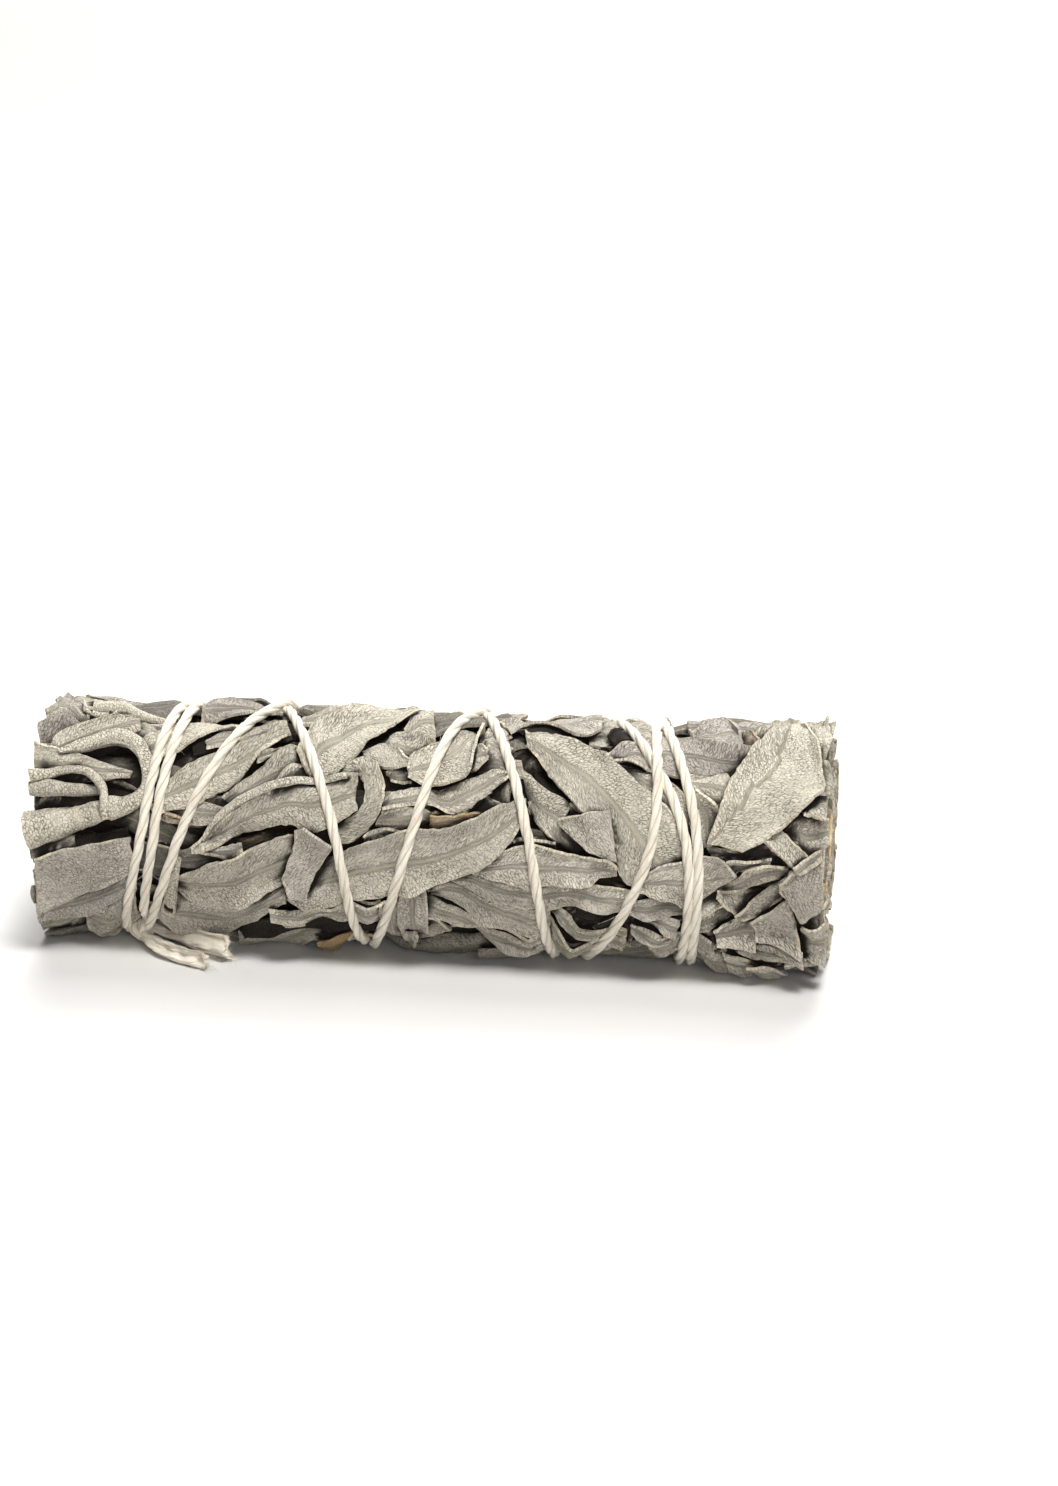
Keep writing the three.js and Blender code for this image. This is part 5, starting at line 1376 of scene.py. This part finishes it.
# The stalks stand round the heart of the roll: place in the cross-section, radius, the pith's hole,
# where each starts inside the roll, and how far it stands out of the end.
heart = (-1.8, roll["axisHeight"] + 0.7)
stalks = [
    {"at": (3.3, 3.4), "radius": 2.0, "hole": 0.95, "inner": -24, "stand": 0},
    {"at": (-3.2, 3.1), "radius": 2.8, "hole": 1.5, "inner": -30, "stand": 0.9},
    {"at": (-5.6, -1.9), "radius": 2.0, "hole": 0.5, "inner": -26, "stand": 0.7},
    {"at": (-1.4, -5.2), "radius": 1.3, "hole": 0.5, "inner": -14, "stand": -0.4},
    {"at": (3.5, -2.6), "radius": 2.6, "hole": 1.45, "inner": -32, "stand": 0.4},
]


def pushedOff(y, z, clearance):
    # points near a stalk move straight away from it: distance d becomes
    # (d^3 + (radius + clearance)^3)^(1/3)
    for stalk in stalks:
        cy, cz = np.add(heart, stalk["at"])
        d = np.hypot(y - cy, z - cz) + 1e-6
        grown = np.cbrt(d**3 + (stalk["radius"] + clearance) ** 3) / d
        y, z = cy + (y - cy) * grown, cz + (z - cz) * grown
    return y, z


def foldRibbon(ring, start, sweep, end, rng):
    # the edge of a folded leaf: an arc round the axis with waves across it, warped by soft noise,
    # carried a few mm into the roll, with its thickness to both sides
    form = endFolds
    radius = form["firstRadius"] + form["spacing"] * ring
    count = int(np.clip(radius * sweep / form["step"], 10, 70))
    k = np.linspace(0, 1, count)
    a = start + sweep * k
    drift = rng.uniform(-0.5, 0.5)
    wobble = form["wave"] * ripples(radius * a / 3.4, 0 * a, rng)
    rho = radius + drift * (k - 0.5) * 2 + wobble
    hook = rng.uniform(0.0, form["hook"], 2) * rng.choice([-1, 1], 2)
    for size, way in ((hook[0], -k), (hook[1], -(1 - k))):
        rho = rho + size * np.exp(way * count * form["step"] / form["hookLength"])
    y, z = -rho * np.cos(a) * 1.02, roll["axisHeight"] + rho * np.sin(a)
    warp = form["warp"]
    y = y + warp * np.sin(z * 0.75 + 1.3 * end) + 0.5 * warp * np.sin(z * 1.9 + y * 0.6)
    z = z + warp * np.sin(y * 0.7 + 2.1 + end) + 0.5 * warp * np.sin(y * 1.7 - 0.4)
    if end > 0:
        y, z = pushedOff(y, z, 0.25)
    tip = halfLength - rng.uniform(*form["tip"]) - 0.25 * (1 + ripples(a * radius / 4, 0 * a, rng))
    u = np.array([0.0, 0.35, 0.75, 1.0])[:, None]
    x = end * (tip - form["depth"] * (1 - u)) + 0 * y
    lean = 0.25 * (1 - u) * rng.uniform(-1, 1)
    y, z = y * (1 - 0.02 * (1 - u)) + lean, z + lean
    flat = stacked(x, y, z)
    normal = unitNormals(flat)
    limit = rollRadius(np.array(end * 49.0)) - 0.6
    both = []
    for side in (0.5, -0.5):
        p = flat + normal * form["thick"] * side
        far = np.hypot(p[..., 1], p[..., 2] - roll["axisHeight"])
        pull = np.minimum(limit / far, 1)
        p[..., 1] *= pull
        p[..., 2] = roll["axisHeight"] + (p[..., 2] - roll["axisHeight"]) * pull
        both.append(p.reshape(-1, 3))
    points = np.concatenate(both) * mm
    faces = outward(points, slabFaces(4, count))
    edge = np.broadcast_to(np.array([0.0, 0.0, 0.1, 0.75])[:, None], x.shape)
    # painted shade, darker the further the fold reaches into the roll
    depth = np.broadcast_to(np.array([1.0, 0.9, 0.5, 0.1])[:, None], x.shape) * rng.uniform(0.75, 1.1)
    shift = rng.uniform(0, 200, 2)
    tone = [rng.uniform(0.2, 0.8) + 0 * x, rng.uniform(0, 1) + 0 * x, 0.3 + 0 * x, edge]
    grain = stacked(x + shift[0], radius * a + 0 * x + shift[1])
    layers = {
        "grain": grain,
        "blade": stacked(radius * a + 0 * x, 0.5 + 0 * x),
        "web": grain,
        "leafTone": stacked(*tone),
        "leafShade": greyOf(depth),
    }
    return points, faces, {key: doubled(values) for key, values in layers.items()}


def buildEnd(end, name):
    # rings of folds from the heart outwards, each ring in pieces until it is full
    rng = np.random.default_rng(40 + end)
    parts = []
    for ring in range(endFolds["rings"]):
        radius = endFolds["firstRadius"] + endFolds["spacing"] * ring
        start = rng.uniform(0, 2 * math.pi)
        left = 2 * math.pi
        while left > 0.3:
            sweep = min(rng.uniform(*endFolds["pieceLength"]) / radius, 5.6)
            parts.append(foldRibbon(ring, start, sweep, end, rng))
            start += sweep * endFolds["overlap"]
            left -= sweep * endFolds["overlap"]
    points, faces, layers = joined(parts)
    piece = meshObject(name, points, [faces], layers, sageLeaf)
    print(name, len(parts), "folds", len(faces) * 2, "triangles")


buildCore()
buildEnd(-1, "left_end_folds")
buildEnd(1, "right_end_folds")

stalkLook = {
    "bark": (0.19, 0.105, 0.05, 1),
    "barkLight": (0.42, 0.29, 0.15, 1),
    "wood": (0.62, 0.44, 0.22, 1),
    "pith": (0.74, 0.62, 0.42, 1),
    "relief": 0.0003,
}


def stalkMaterial():
    # streaked bark, and sawn wood with pale pith where the cut is
    material, shader, w = newMaterial("woody_stalk", 0.75)
    place = w.node("ShaderNodeUVMap", {"uv_map": "grain"}, {})
    tone = w.node("ShaderNodeAttribute", {"attribute_name": "woodTone"}, {})
    cut = w.node("ShaderNodeSeparateColor", {}, {"Color": tone}, 0)
    core = w.node("ShaderNodeSeparateColor", {}, {"Color": tone}, 1)
    streaks = w.node("ShaderNodeTexNoise", {}, {"Vector": place, "Scale": 1.0, "Detail": 4.0})
    bark = streaks.between(0.35, 0.65).blend(stalkLook["bark"], stalkLook["barkLight"])
    wood = core.blend(stalkLook["wood"], stalkLook["pith"])
    wood = (streaks.between(0.3, 0.7) * 0.3).blend(wood, stalkLook["bark"])
    attach(shader, "Base Color", cut.blend(bark, wood))
    relief = {"Height": streaks, "Strength": 0.6, "Distance": stalkLook["relief"]}
    bump = w.node("ShaderNodeBump", {}, relief)
    attach(shader, "Normal", bump)
    return material


woodyStalk = stalkMaterial()


def buildStalk(number, stalk):
    # a profile of distance along the roll and radius turned round the stalk: thin at its inner
    # end, ridged bark, a rough sawn ring, and the pith's hole
    end = halfLength - 1 + stalk["stand"]
    big, hole = stalk["radius"], stalk["hole"]
    mid = (big + hole) / 2
    profile = np.array(
        [
            # along, radius, cut, core
            (stalk["inner"], 0.02, 0, 0),
            (stalk["inner"], big * 0.7, 0, 0),
            (stalk["inner"] + 0.5, big * 0.78, 0, 0),
            (end - 18, big * 0.97, 0, 0),
            (end - 9, big, 0, 0),
            (end - 4, big, 0, 0),
            (end - 1.2, big, 0, 0),
            (end - 0.12, big * 0.995, 0, 0),
            (end - 0.02, big * 0.96, 1, 0),
            (end, big * 0.86, 1, 0),
            (end - 0.03, mid, 1, 0.1),
            (end - 0.05, hole + 0.25, 1, 0.7),
            (end - 0.12, hole + 0.05, 1, 1),
            (end - 0.5, hole * 0.97, 1, 1),
            (end - 3, hole * 0.9, 1, 0.9),
            (end - 7, hole * 0.8, 1, 0.6),
            (end - 7, 0.02, 1, 0.6),
        ]
    )
    sides = 48
    a = (np.arange(sides) * 2 * math.pi / sides)[None, :]
    along, radius = profile[:, :1], profile[:, 1:2]
    rng = np.random.default_rng(70 + number)
    share = radius / big
    ridges = 0.035 * np.sin(7 * a + 0.12 * along + number) + 0.02 * np.sin(17 * a + number)
    grown = radius * (1 + ridges * share) + 0.05 * ripples(3 * a / math.pi, along / 3, rng) * share
    chips = 0.12 * ripples(4 * np.cos(a), 4 * np.sin(a), rng) * profile[:, 2:3]
    x = along + chips * smoothStep(hole, big, radius)
    cy, cz = np.add(heart, stalk["at"])
    points = stacked(x + 0 * a, cy - grown * np.cos(a), cz + grown * np.sin(a))
    rows = len(profile)
    ends = np.array([[profile[0, 0], cy, cz], [profile[-1, 0], cy, cz]])
    points = np.concatenate([points.reshape(-1, 3), ends]) * mm
    tone = np.concatenate([np.repeat(profile[:, 2:4], sides, axis=0), profile[[0, -1], 2:4]])
    tone = np.column_stack([tone, np.zeros((len(tone), 1)), np.ones((len(tone), 1))])
    turn = np.arctan2(points[:, 2] - cz * mm, points[:, 1] - cy * mm)
    layers = {"grain": np.column_stack([points[:, 0] * 150, turn * 2.5]), "woodTone": tone}
    faces = [tubeFaces(rows, sides)[:, ::-1], poleCaps(rows, sides)[:, ::-1]]
    piece = meshObject(f"sprig_{number}_cut_stalk", points, faces, layers, woodyStalk)
    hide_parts(f"sprig_{number}_stalk")


for number, stalk in enumerate(stalks, 1):
    buildStalk(number, stalk)
print("stalks made")

twineLook = {
    "light": (0.85, 0.79, 0.675, 1),
    "shade": (0.62, 0.55, 0.43, 1),
    "groove": (0.3, 0.24, 0.16, 1),
    "relief": 0.00025,
}


def twineMaterial():
    # cotton with fine fibres and broad blotches, and painted shade in the grooves between the plies
    material, shader, w = newMaterial("cotton_twine", 0.9)
    shader.inputs["Sheen Weight"].default_value = 0.4
    grain = w.node("ShaderNodeUVMap", {"uv_map": "grain"}, {})
    fibres = w.node("ShaderNodeTexNoise", {}, {"Vector": grain, "Scale": 1.0, "Detail": 4.0})
    blotches = w.node("ShaderNodeTexNoise", {}, {"Vector": grain, "Scale": 0.12, "Detail": 2.0})
    lightness = (fibres * 0.6 + blotches * 0.6).between(0.35, 0.8)
    colour = lightness.blend(twineLook["shade"], twineLook["light"])
    # the map's second value is ply count times the angle, and half a turn of it lies in a groove
    across = w.node("ShaderNodeSeparateXYZ", {}, {"Vector": grain}, 1) / (2 * math.pi)
    groove = across.maths("PINGPONG", across, 0.5).between(0.36, 0.5)
    # painted shade in the grooves between the plies
    colour = (groove * 0.6).blend(colour, twineLook["groove"])
    attach(shader, "Base Color", colour)
    relief = {"Height": fibres, "Strength": 0.7, "Distance": twineLook["relief"]}
    bump = w.node("ShaderNodeBump", {}, relief)
    attach(shader, "Normal", bump)
    return material


cottonTwine = twineMaterial()
ply = {
    "count": 3,
    "pitch": 10.2,  # the length in which the plies turn once
    "offset": 0.27,
    "radius": 0.5,
    "step": 0.36,
    "sides": 24,
    "wander": 0.35,  # how unevenly they turn, radians
    "lumps": 0.035,
}


def ropeSection(a, offset, radius):
    # the outline of some plies side by side: c cos f + sqrt(r^2 - c^2 sin^2 f), where f is the
    # angle from the nearest ply
    wedge = 2 * math.pi / ply["count"]
    f = (a + wedge / 2) % wedge - wedge / 2
    return offset * np.cos(f) + np.sqrt(radius**2 - (offset * np.sin(f)) ** 2)


def ropeSolid(path, away, scale, seed):
    # the plies' outline carried along the path and turned once in each pitch, with soft lumps;
    # away is a direction near the path's normal at each of its points
    arc = np.concatenate([[0], np.cumsum(np.linalg.norm(np.diff(path, axis=0), axis=1))])
    count = max(int(arc[-1] / ply["step"]), 10)
    even = np.linspace(0, arc[-1], count)
    p = np.column_stack(valuesAt(even, arc, path))
    out = np.column_stack(valuesAt(even, arc, away))
    ahead = unit(np.gradient(p, axis=0))
    aside = unit(np.cross(ahead, out))
    out = np.cross(aside, ahead)
    # the first column runs in a groove, and all of them turn with the plies
    sides = ply["sides"]
    turned = (math.pi / ply["count"] + np.arange(sides) * 2 * math.pi / sides)[None, :]
    rng = np.random.default_rng(seed)
    a = turned + 2 * math.pi * even[:, None] / ply["pitch"]
    a = a + ply["wander"] * ripples(even[:, None] / 14, 0, rng)
    radius = ropeSection(turned, ply["offset"], ply["radius"])
    radius = radius * np.interp(even, arc, np.broadcast_to(scale, arc.shape))[:, None]
    radius = radius * (1 + ply["lumps"] * ripples(even[:, None] / 5, a * 0.3, rng))
    ring = p[:, None, :] + (radius * np.cos(a))[..., None] * out[:, None, :]
    ring = ring + (radius * np.sin(a))[..., None] * aside[:, None, :]
    points = np.concatenate([ring.reshape(-1, 3), p[:1], p[-1:]]) * mm
    grain = stacked(even[:, None] * 0.9 + 0 * a, turned * ply["count"] + 0 * a).reshape(-1, 2)
    grain = np.concatenate([grain, grain[:1], grain[-1:]])
    return points, tubeFaces(count, sides), poleCaps(count, sides), grain


def straightOut(path):
    # the direction away from the roll's axis at each point
    out = path - np.array([0, 0, roll["axisHeight"]])
    out[:, 0] = 0
    return unit(out)


knot = {
    "loops": [(20, 1.05), (110, 1.0)],  # how far each is turned, in degrees, and its radius
    "tilt": 30,
    "stand": 0.6,  # how far it stands over the roll's radius
    "sweep": 2.2 * math.pi,
    "rise": 0.12,  # how far a loop moves aside in each radian
    "scale": 0.85,
}


def knotLoops():
    # two small loops of the string round each other at the start of its route
    angle = math.radians(twine["knotAngle"])
    r = rollRadius(np.array(twine["knotX"])) + knot["stand"]
    centre = np.array([twine["knotX"], -r * math.cos(angle), roll["axisHeight"] + r * math.sin(angle)])
    loops = []
    for turn, size in knot["loops"]:
        a = np.linspace(0, knot["sweep"], 60)
        turn, tip = math.radians(turn), math.radians(knot["tilt"])
        flat = stacked(size * np.cos(a), size * np.sin(a), knot["rise"] * (a - 3))
        x = flat[:, 0] * math.cos(turn) + flat[:, 2] * math.sin(turn)
        z = -flat[:, 0] * math.sin(turn) + flat[:, 2] * math.cos(turn)
        y = flat[:, 1] * math.cos(tip) - z * math.sin(tip)
        z = flat[:, 1] * math.sin(tip) + z * math.cos(tip)
        path = centre + stacked(x, y, z)
        loops.append((path, unit(path - centre)))
    return loops


# each tail's middle line, its height on edge at the knot and at the cut, and its folds
tails = [
    {
        "points": [(-37.2, -8, 2.1), (-33.6, -9.2, 1.75), (-29.4, -11.7, 1.8), (-25.2, -13.8, 1.9)],
        "height": (1.3, 3.1),
        "fold": (0.5, 2.6, 0.6),
    },
    {
        "points": [(-37.9, -8.6, 1.7), (-35, -12, 1.3), (-31.4, -14.8, 1.2), (-27.4, -16.5, 1.15)],
        "height": (1.4, 2.2),
        "fold": (0.4, 2.0, 2.4),
    },
]


def bandSolid(tail, seed):
    # a string that has come apart to a flat band on edge: its section is a flattened ellipse whose
    # middle line is a sine of the height, which turns slowly along the band. Its last ring and
    # direction come with it.
    path = splineThrough(np.array(tail["points"], float), 90)
    k = np.linspace(0, 1, len(path))[:, None]
    ahead = unit(np.gradient(path, axis=0))
    up = unit(np.array([0, 0, 1]) - ahead * ahead[:, 2:])
    out = np.cross(ahead, up)
    a = (np.arange(64) * 2 * math.pi / 64)[None, :]
    rng = np.random.default_rng(seed)
    low, high = tail["height"]
    tall = (low + (high - low) * smoothStep(0.15, 0.75, k)) / 2 * (1 + 0.08 * ripples(3 * k, 0 * k, rng))
    share = np.sign(np.cos(a)) * np.abs(np.cos(a)) ** 0.75
    thick = 0.62 - 0.2 * smoothStep(0.2, 1, k)
    threads = 1 + 0.14 * np.sin(17 * share + 3 * ripples(4 * k, 0 * k, rng)) * np.abs(np.sin(a))
    amount, waves, phase = tail["fold"]
    fold = amount * smoothStep(0.1, 0.5, k) * np.sin(waves * share * math.pi / 2 + phase + 1.6 * k)
    fold = fold + 0.12 * ripples(5 * k, share, rng)
    depth = thick * np.sign(np.sin(a)) * np.abs(np.sin(a)) ** 0.8 * threads + fold
    slant = -0.35 * share * smoothStep(0.9, 1, k)
    slant = slant + 0.22 * ripples(0 * k, 5 * share, rng) * smoothStep(0.93, 1, k)
    ring = path[:, None] + (tall * share)[..., None] * up[:, None] + depth[..., None] * out[:, None]
    ring = ring + slant[..., None] * ahead[:, None]
    ring[..., 2] = np.maximum(ring[..., 2], 0.12)
    count, sides = depth.shape
    points = np.concatenate([ring.reshape(-1, 3), path[:1], ring[-1:].mean(axis=1)]) * mm
    grain = stacked(k * 9 + 0 * a, share * tall * 3 + 0 * k).reshape(-1, 2)
    grain = np.concatenate([grain, grain[:1], grain[-1:]])
    band = (points, tubeFaces(count, sides)[:, ::-1], poleCaps(count, sides)[:, ::-1], grain)
    return band, ring[-1], ahead[-1]


# Loose fibres: how many, their lengths and how curled they are, at a tail's cut, those that hang
# from it, and along the string.
fuzz = {
    "thick": 0.022,
    "cut": {"count": 70, "length": (0.3, 0.9), "curl": 0.3},
    "hanging": {"count": 9, "length": (1.5, 3.2), "curl": 0.6},
    "string": {"count": 520, "length": (0.5, 1.7), "curl": 0.4},
}


def fibre(start, heading, length, curl, rng):
    # a hair: a curled path with a three-sided section that thins to its tip
    steps = 7
    k = np.linspace(0, 1, steps)
    bend = rng.normal(0, curl, (3,))
    bend2 = rng.normal(0, curl, (3,))
    path = start + length * (k[:, None] * heading + (k**2)[:, None] * bend + (k**3)[:, None] * bend2)
    thick = fuzz["thick"] * (1 - 0.6 * k)
    ahead = np.gradient(path, axis=0)
    ahead /= np.linalg.norm(ahead, axis=1)[:, None] + 1e-9
    side = np.cross(ahead, [0.3, 0.5, 0.8])
    side /= np.linalg.norm(side, axis=1)[:, None] + 1e-9
    other = np.cross(ahead, side)
    a = np.arange(3) * 2 * math.pi / 3
    ring = path[:, None] + thick[:, None, None] * (
        np.cos(a)[None, :, None] * side[:, None] + np.sin(a)[None, :, None] * other[:, None]
    )
    points = ring.reshape(-1, 3)
    n = steps * 3
    caps = np.array([[2, 1, 0], [n - 3, n - 2, n - 1]])
    return np.maximum(points, [-99, -99, 0.03]) * mm, tubeFaces(steps, 3), caps


def buildTwine():
    # the string along its route, its knot and its two tails, and the loose fibres on it
    route = np.column_stack(
        [twineX, -twineR * np.cos(twineAngle), roll["axisHeight"] + twineR * np.sin(twineAngle)]
    )
    slim = 0.88 - 0.08 * np.exp(-(((route[:, 0] + 37) / 5) ** 2) - ((route[:, 2] - 4) / 9) ** 2)
    ropes = [ropeSolid(route, straightOut(route), slim, 3)]
    for number, (path, out) in enumerate(knotLoops()):
        ropes.append(ropeSolid(path, out, knot["scale"], 20 + number))
    rng = np.random.default_rng(31)
    hairs = []
    atCut, hanging, onString = fuzz["cut"], fuzz["hanging"], fuzz["string"]
    for number, tail in enumerate(tails):
        band, cut, ahead = bandSolid(tail, 50 + number)
        ropes.append(band)
        for _ in range(atCut["count"]):
            heading = ahead + rng.normal(0, 0.35, 3)
            start = cut[rng.integers(len(cut))] - ahead * 0.2
            hairs.append(fibre(start, heading, rng.uniform(*atCut["length"]), atCut["curl"], rng))
        for _ in range(hanging["count"]):
            heading = ahead * 0.5 + rng.normal(0, 0.5, 3) + [0, -0.3, -0.2]
            start = cut[rng.integers(len(cut))]
            hairs.append(fibre(start, heading, rng.uniform(*hanging["length"]), hanging["curl"], rng))
    for _ in range(onString["count"]):
        k = rng.integers(0, len(route) - 1)
        out = straightOut(route[k : k + 1])[0]
        along = (route[k + 1] - route[k]) / np.linalg.norm(route[k + 1] - route[k])
        aside = np.cross(out, along)
        turn = rng.uniform(-1.5, 1.5)
        away = out * math.cos(turn) + aside * math.sin(turn)
        heading = along * rng.uniform(-1, 1) + away * rng.uniform(0.2, 0.8)
        start = route[k] + away * 0.66
        hairs.append(fibre(start, heading, rng.uniform(*onString["length"]), onString["curl"], rng))

    points, faces = gathered(ropes)
    grain = np.concatenate([rope[3] for rope in ropes])
    string = meshObject("twine_string", points, faces, {"grain": grain}, cottonTwine, 60)
    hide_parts("twine")

    points, faces = gathered(hairs)
    grain = np.column_stack([points[:, 0], points[:, 1]]) * 900
    loose = meshObject("twine_fuzz", points, faces, {"grain": grain}, cottonTwine, 60)
    print("twine", len(string.data.polygons), "faces and", len(hairs), "fibres")


buildTwine()

# the table, the lights, and a camera where the photograph was taken from
studio = {
    "table": (0.66, 0.648, 0.628, 1),
    "roomLight": 0.03,
    # name, place, aim, size and power
    "lights": [
        ("key_softbox", (0.18, -0.22, 0.76), (0, 0, 0), 0.28, 7.2),
        ("fill_softbox", (0.28, -0.76, 0.26), (0, 0, 0), 0.4, 2.5),
        ("back_softbox", (-0.05, 0.36, 0.5), (0, 0, 0), 0.5, 3.0),
        ("backdrop_softbox", (0, 1.3, 1.0), (0, 1.2, 0), 1.0, 24.0),
    ],
    "focal": 85.0,
    "distance": 453.6,
    "azimuth": 8.3,
    "elevation": 18.0,
    "aside": 11.7,  # how far the stick's middle is left of the picture's middle
    "below": 11.4,
}


def buildStudio():
    # a white table, a soft room, the lights turned to their aims, and the camera
    bpy.ops.mesh.primitive_plane_add(size=6)
    floor = bpy.context.object
    floor.name = "table_top"
    material, shader, _ = newMaterial("white_table", 0.7)
    shader.inputs["Base Color"].default_value = studio["table"]
    floor.data.materials.append(material)

    world = bpy.data.worlds.new("soft_room")
    bpy.context.scene.world = world
    bpy.context.scene.view_settings.view_transform = "Standard"
    world.use_nodes = True
    world.node_tree.nodes["Background"].inputs["Color"].default_value = (1, 1, 1, 1)
    world.node_tree.nodes["Background"].inputs["Strength"].default_value = studio["roomLight"]

    for name, place, target, size, power in studio["lights"]:
        lamp = bpy.data.lights.new(name, "AREA")
        lamp.energy = power
        lamp.size = size
        light = added(name, lamp)
        light.location = place
        aim = np.subtract(target, place)
        flat = math.hypot(aim[0], aim[1])
        light.rotation_euler = (math.atan2(flat, -aim[2]), 0, math.atan2(-aim[0], aim[1]))

    # the camera stands back from the roll's middle, moved so that it lies where the photograph has it
    az, el = math.radians(studio["azimuth"]), math.radians(studio["elevation"])
    towards = np.array([-math.sin(az) * math.cos(el), math.cos(az) * math.cos(el), -math.sin(el)])
    right = np.array([math.cos(az), math.sin(az), 0])
    up = np.cross(right, towards)
    middle = axisPlace + [0, 0, roll["axisHeight"]]
    spot = middle + right * studio["aside"] + up * studio["below"] - towards * studio["distance"]
    lens = bpy.data.cameras.new("photo_camera")
    lens.lens = studio["focal"]
    lens.sensor_width = 36.0
    lens.sensor_fit = "AUTO"
    camera = added("photo_camera", lens)
    camera.location = spot * mm
    camera.rotation_euler = (math.pi / 2 - el, 0, az)
    bpy.context.scene.camera = camera


buildStudio()
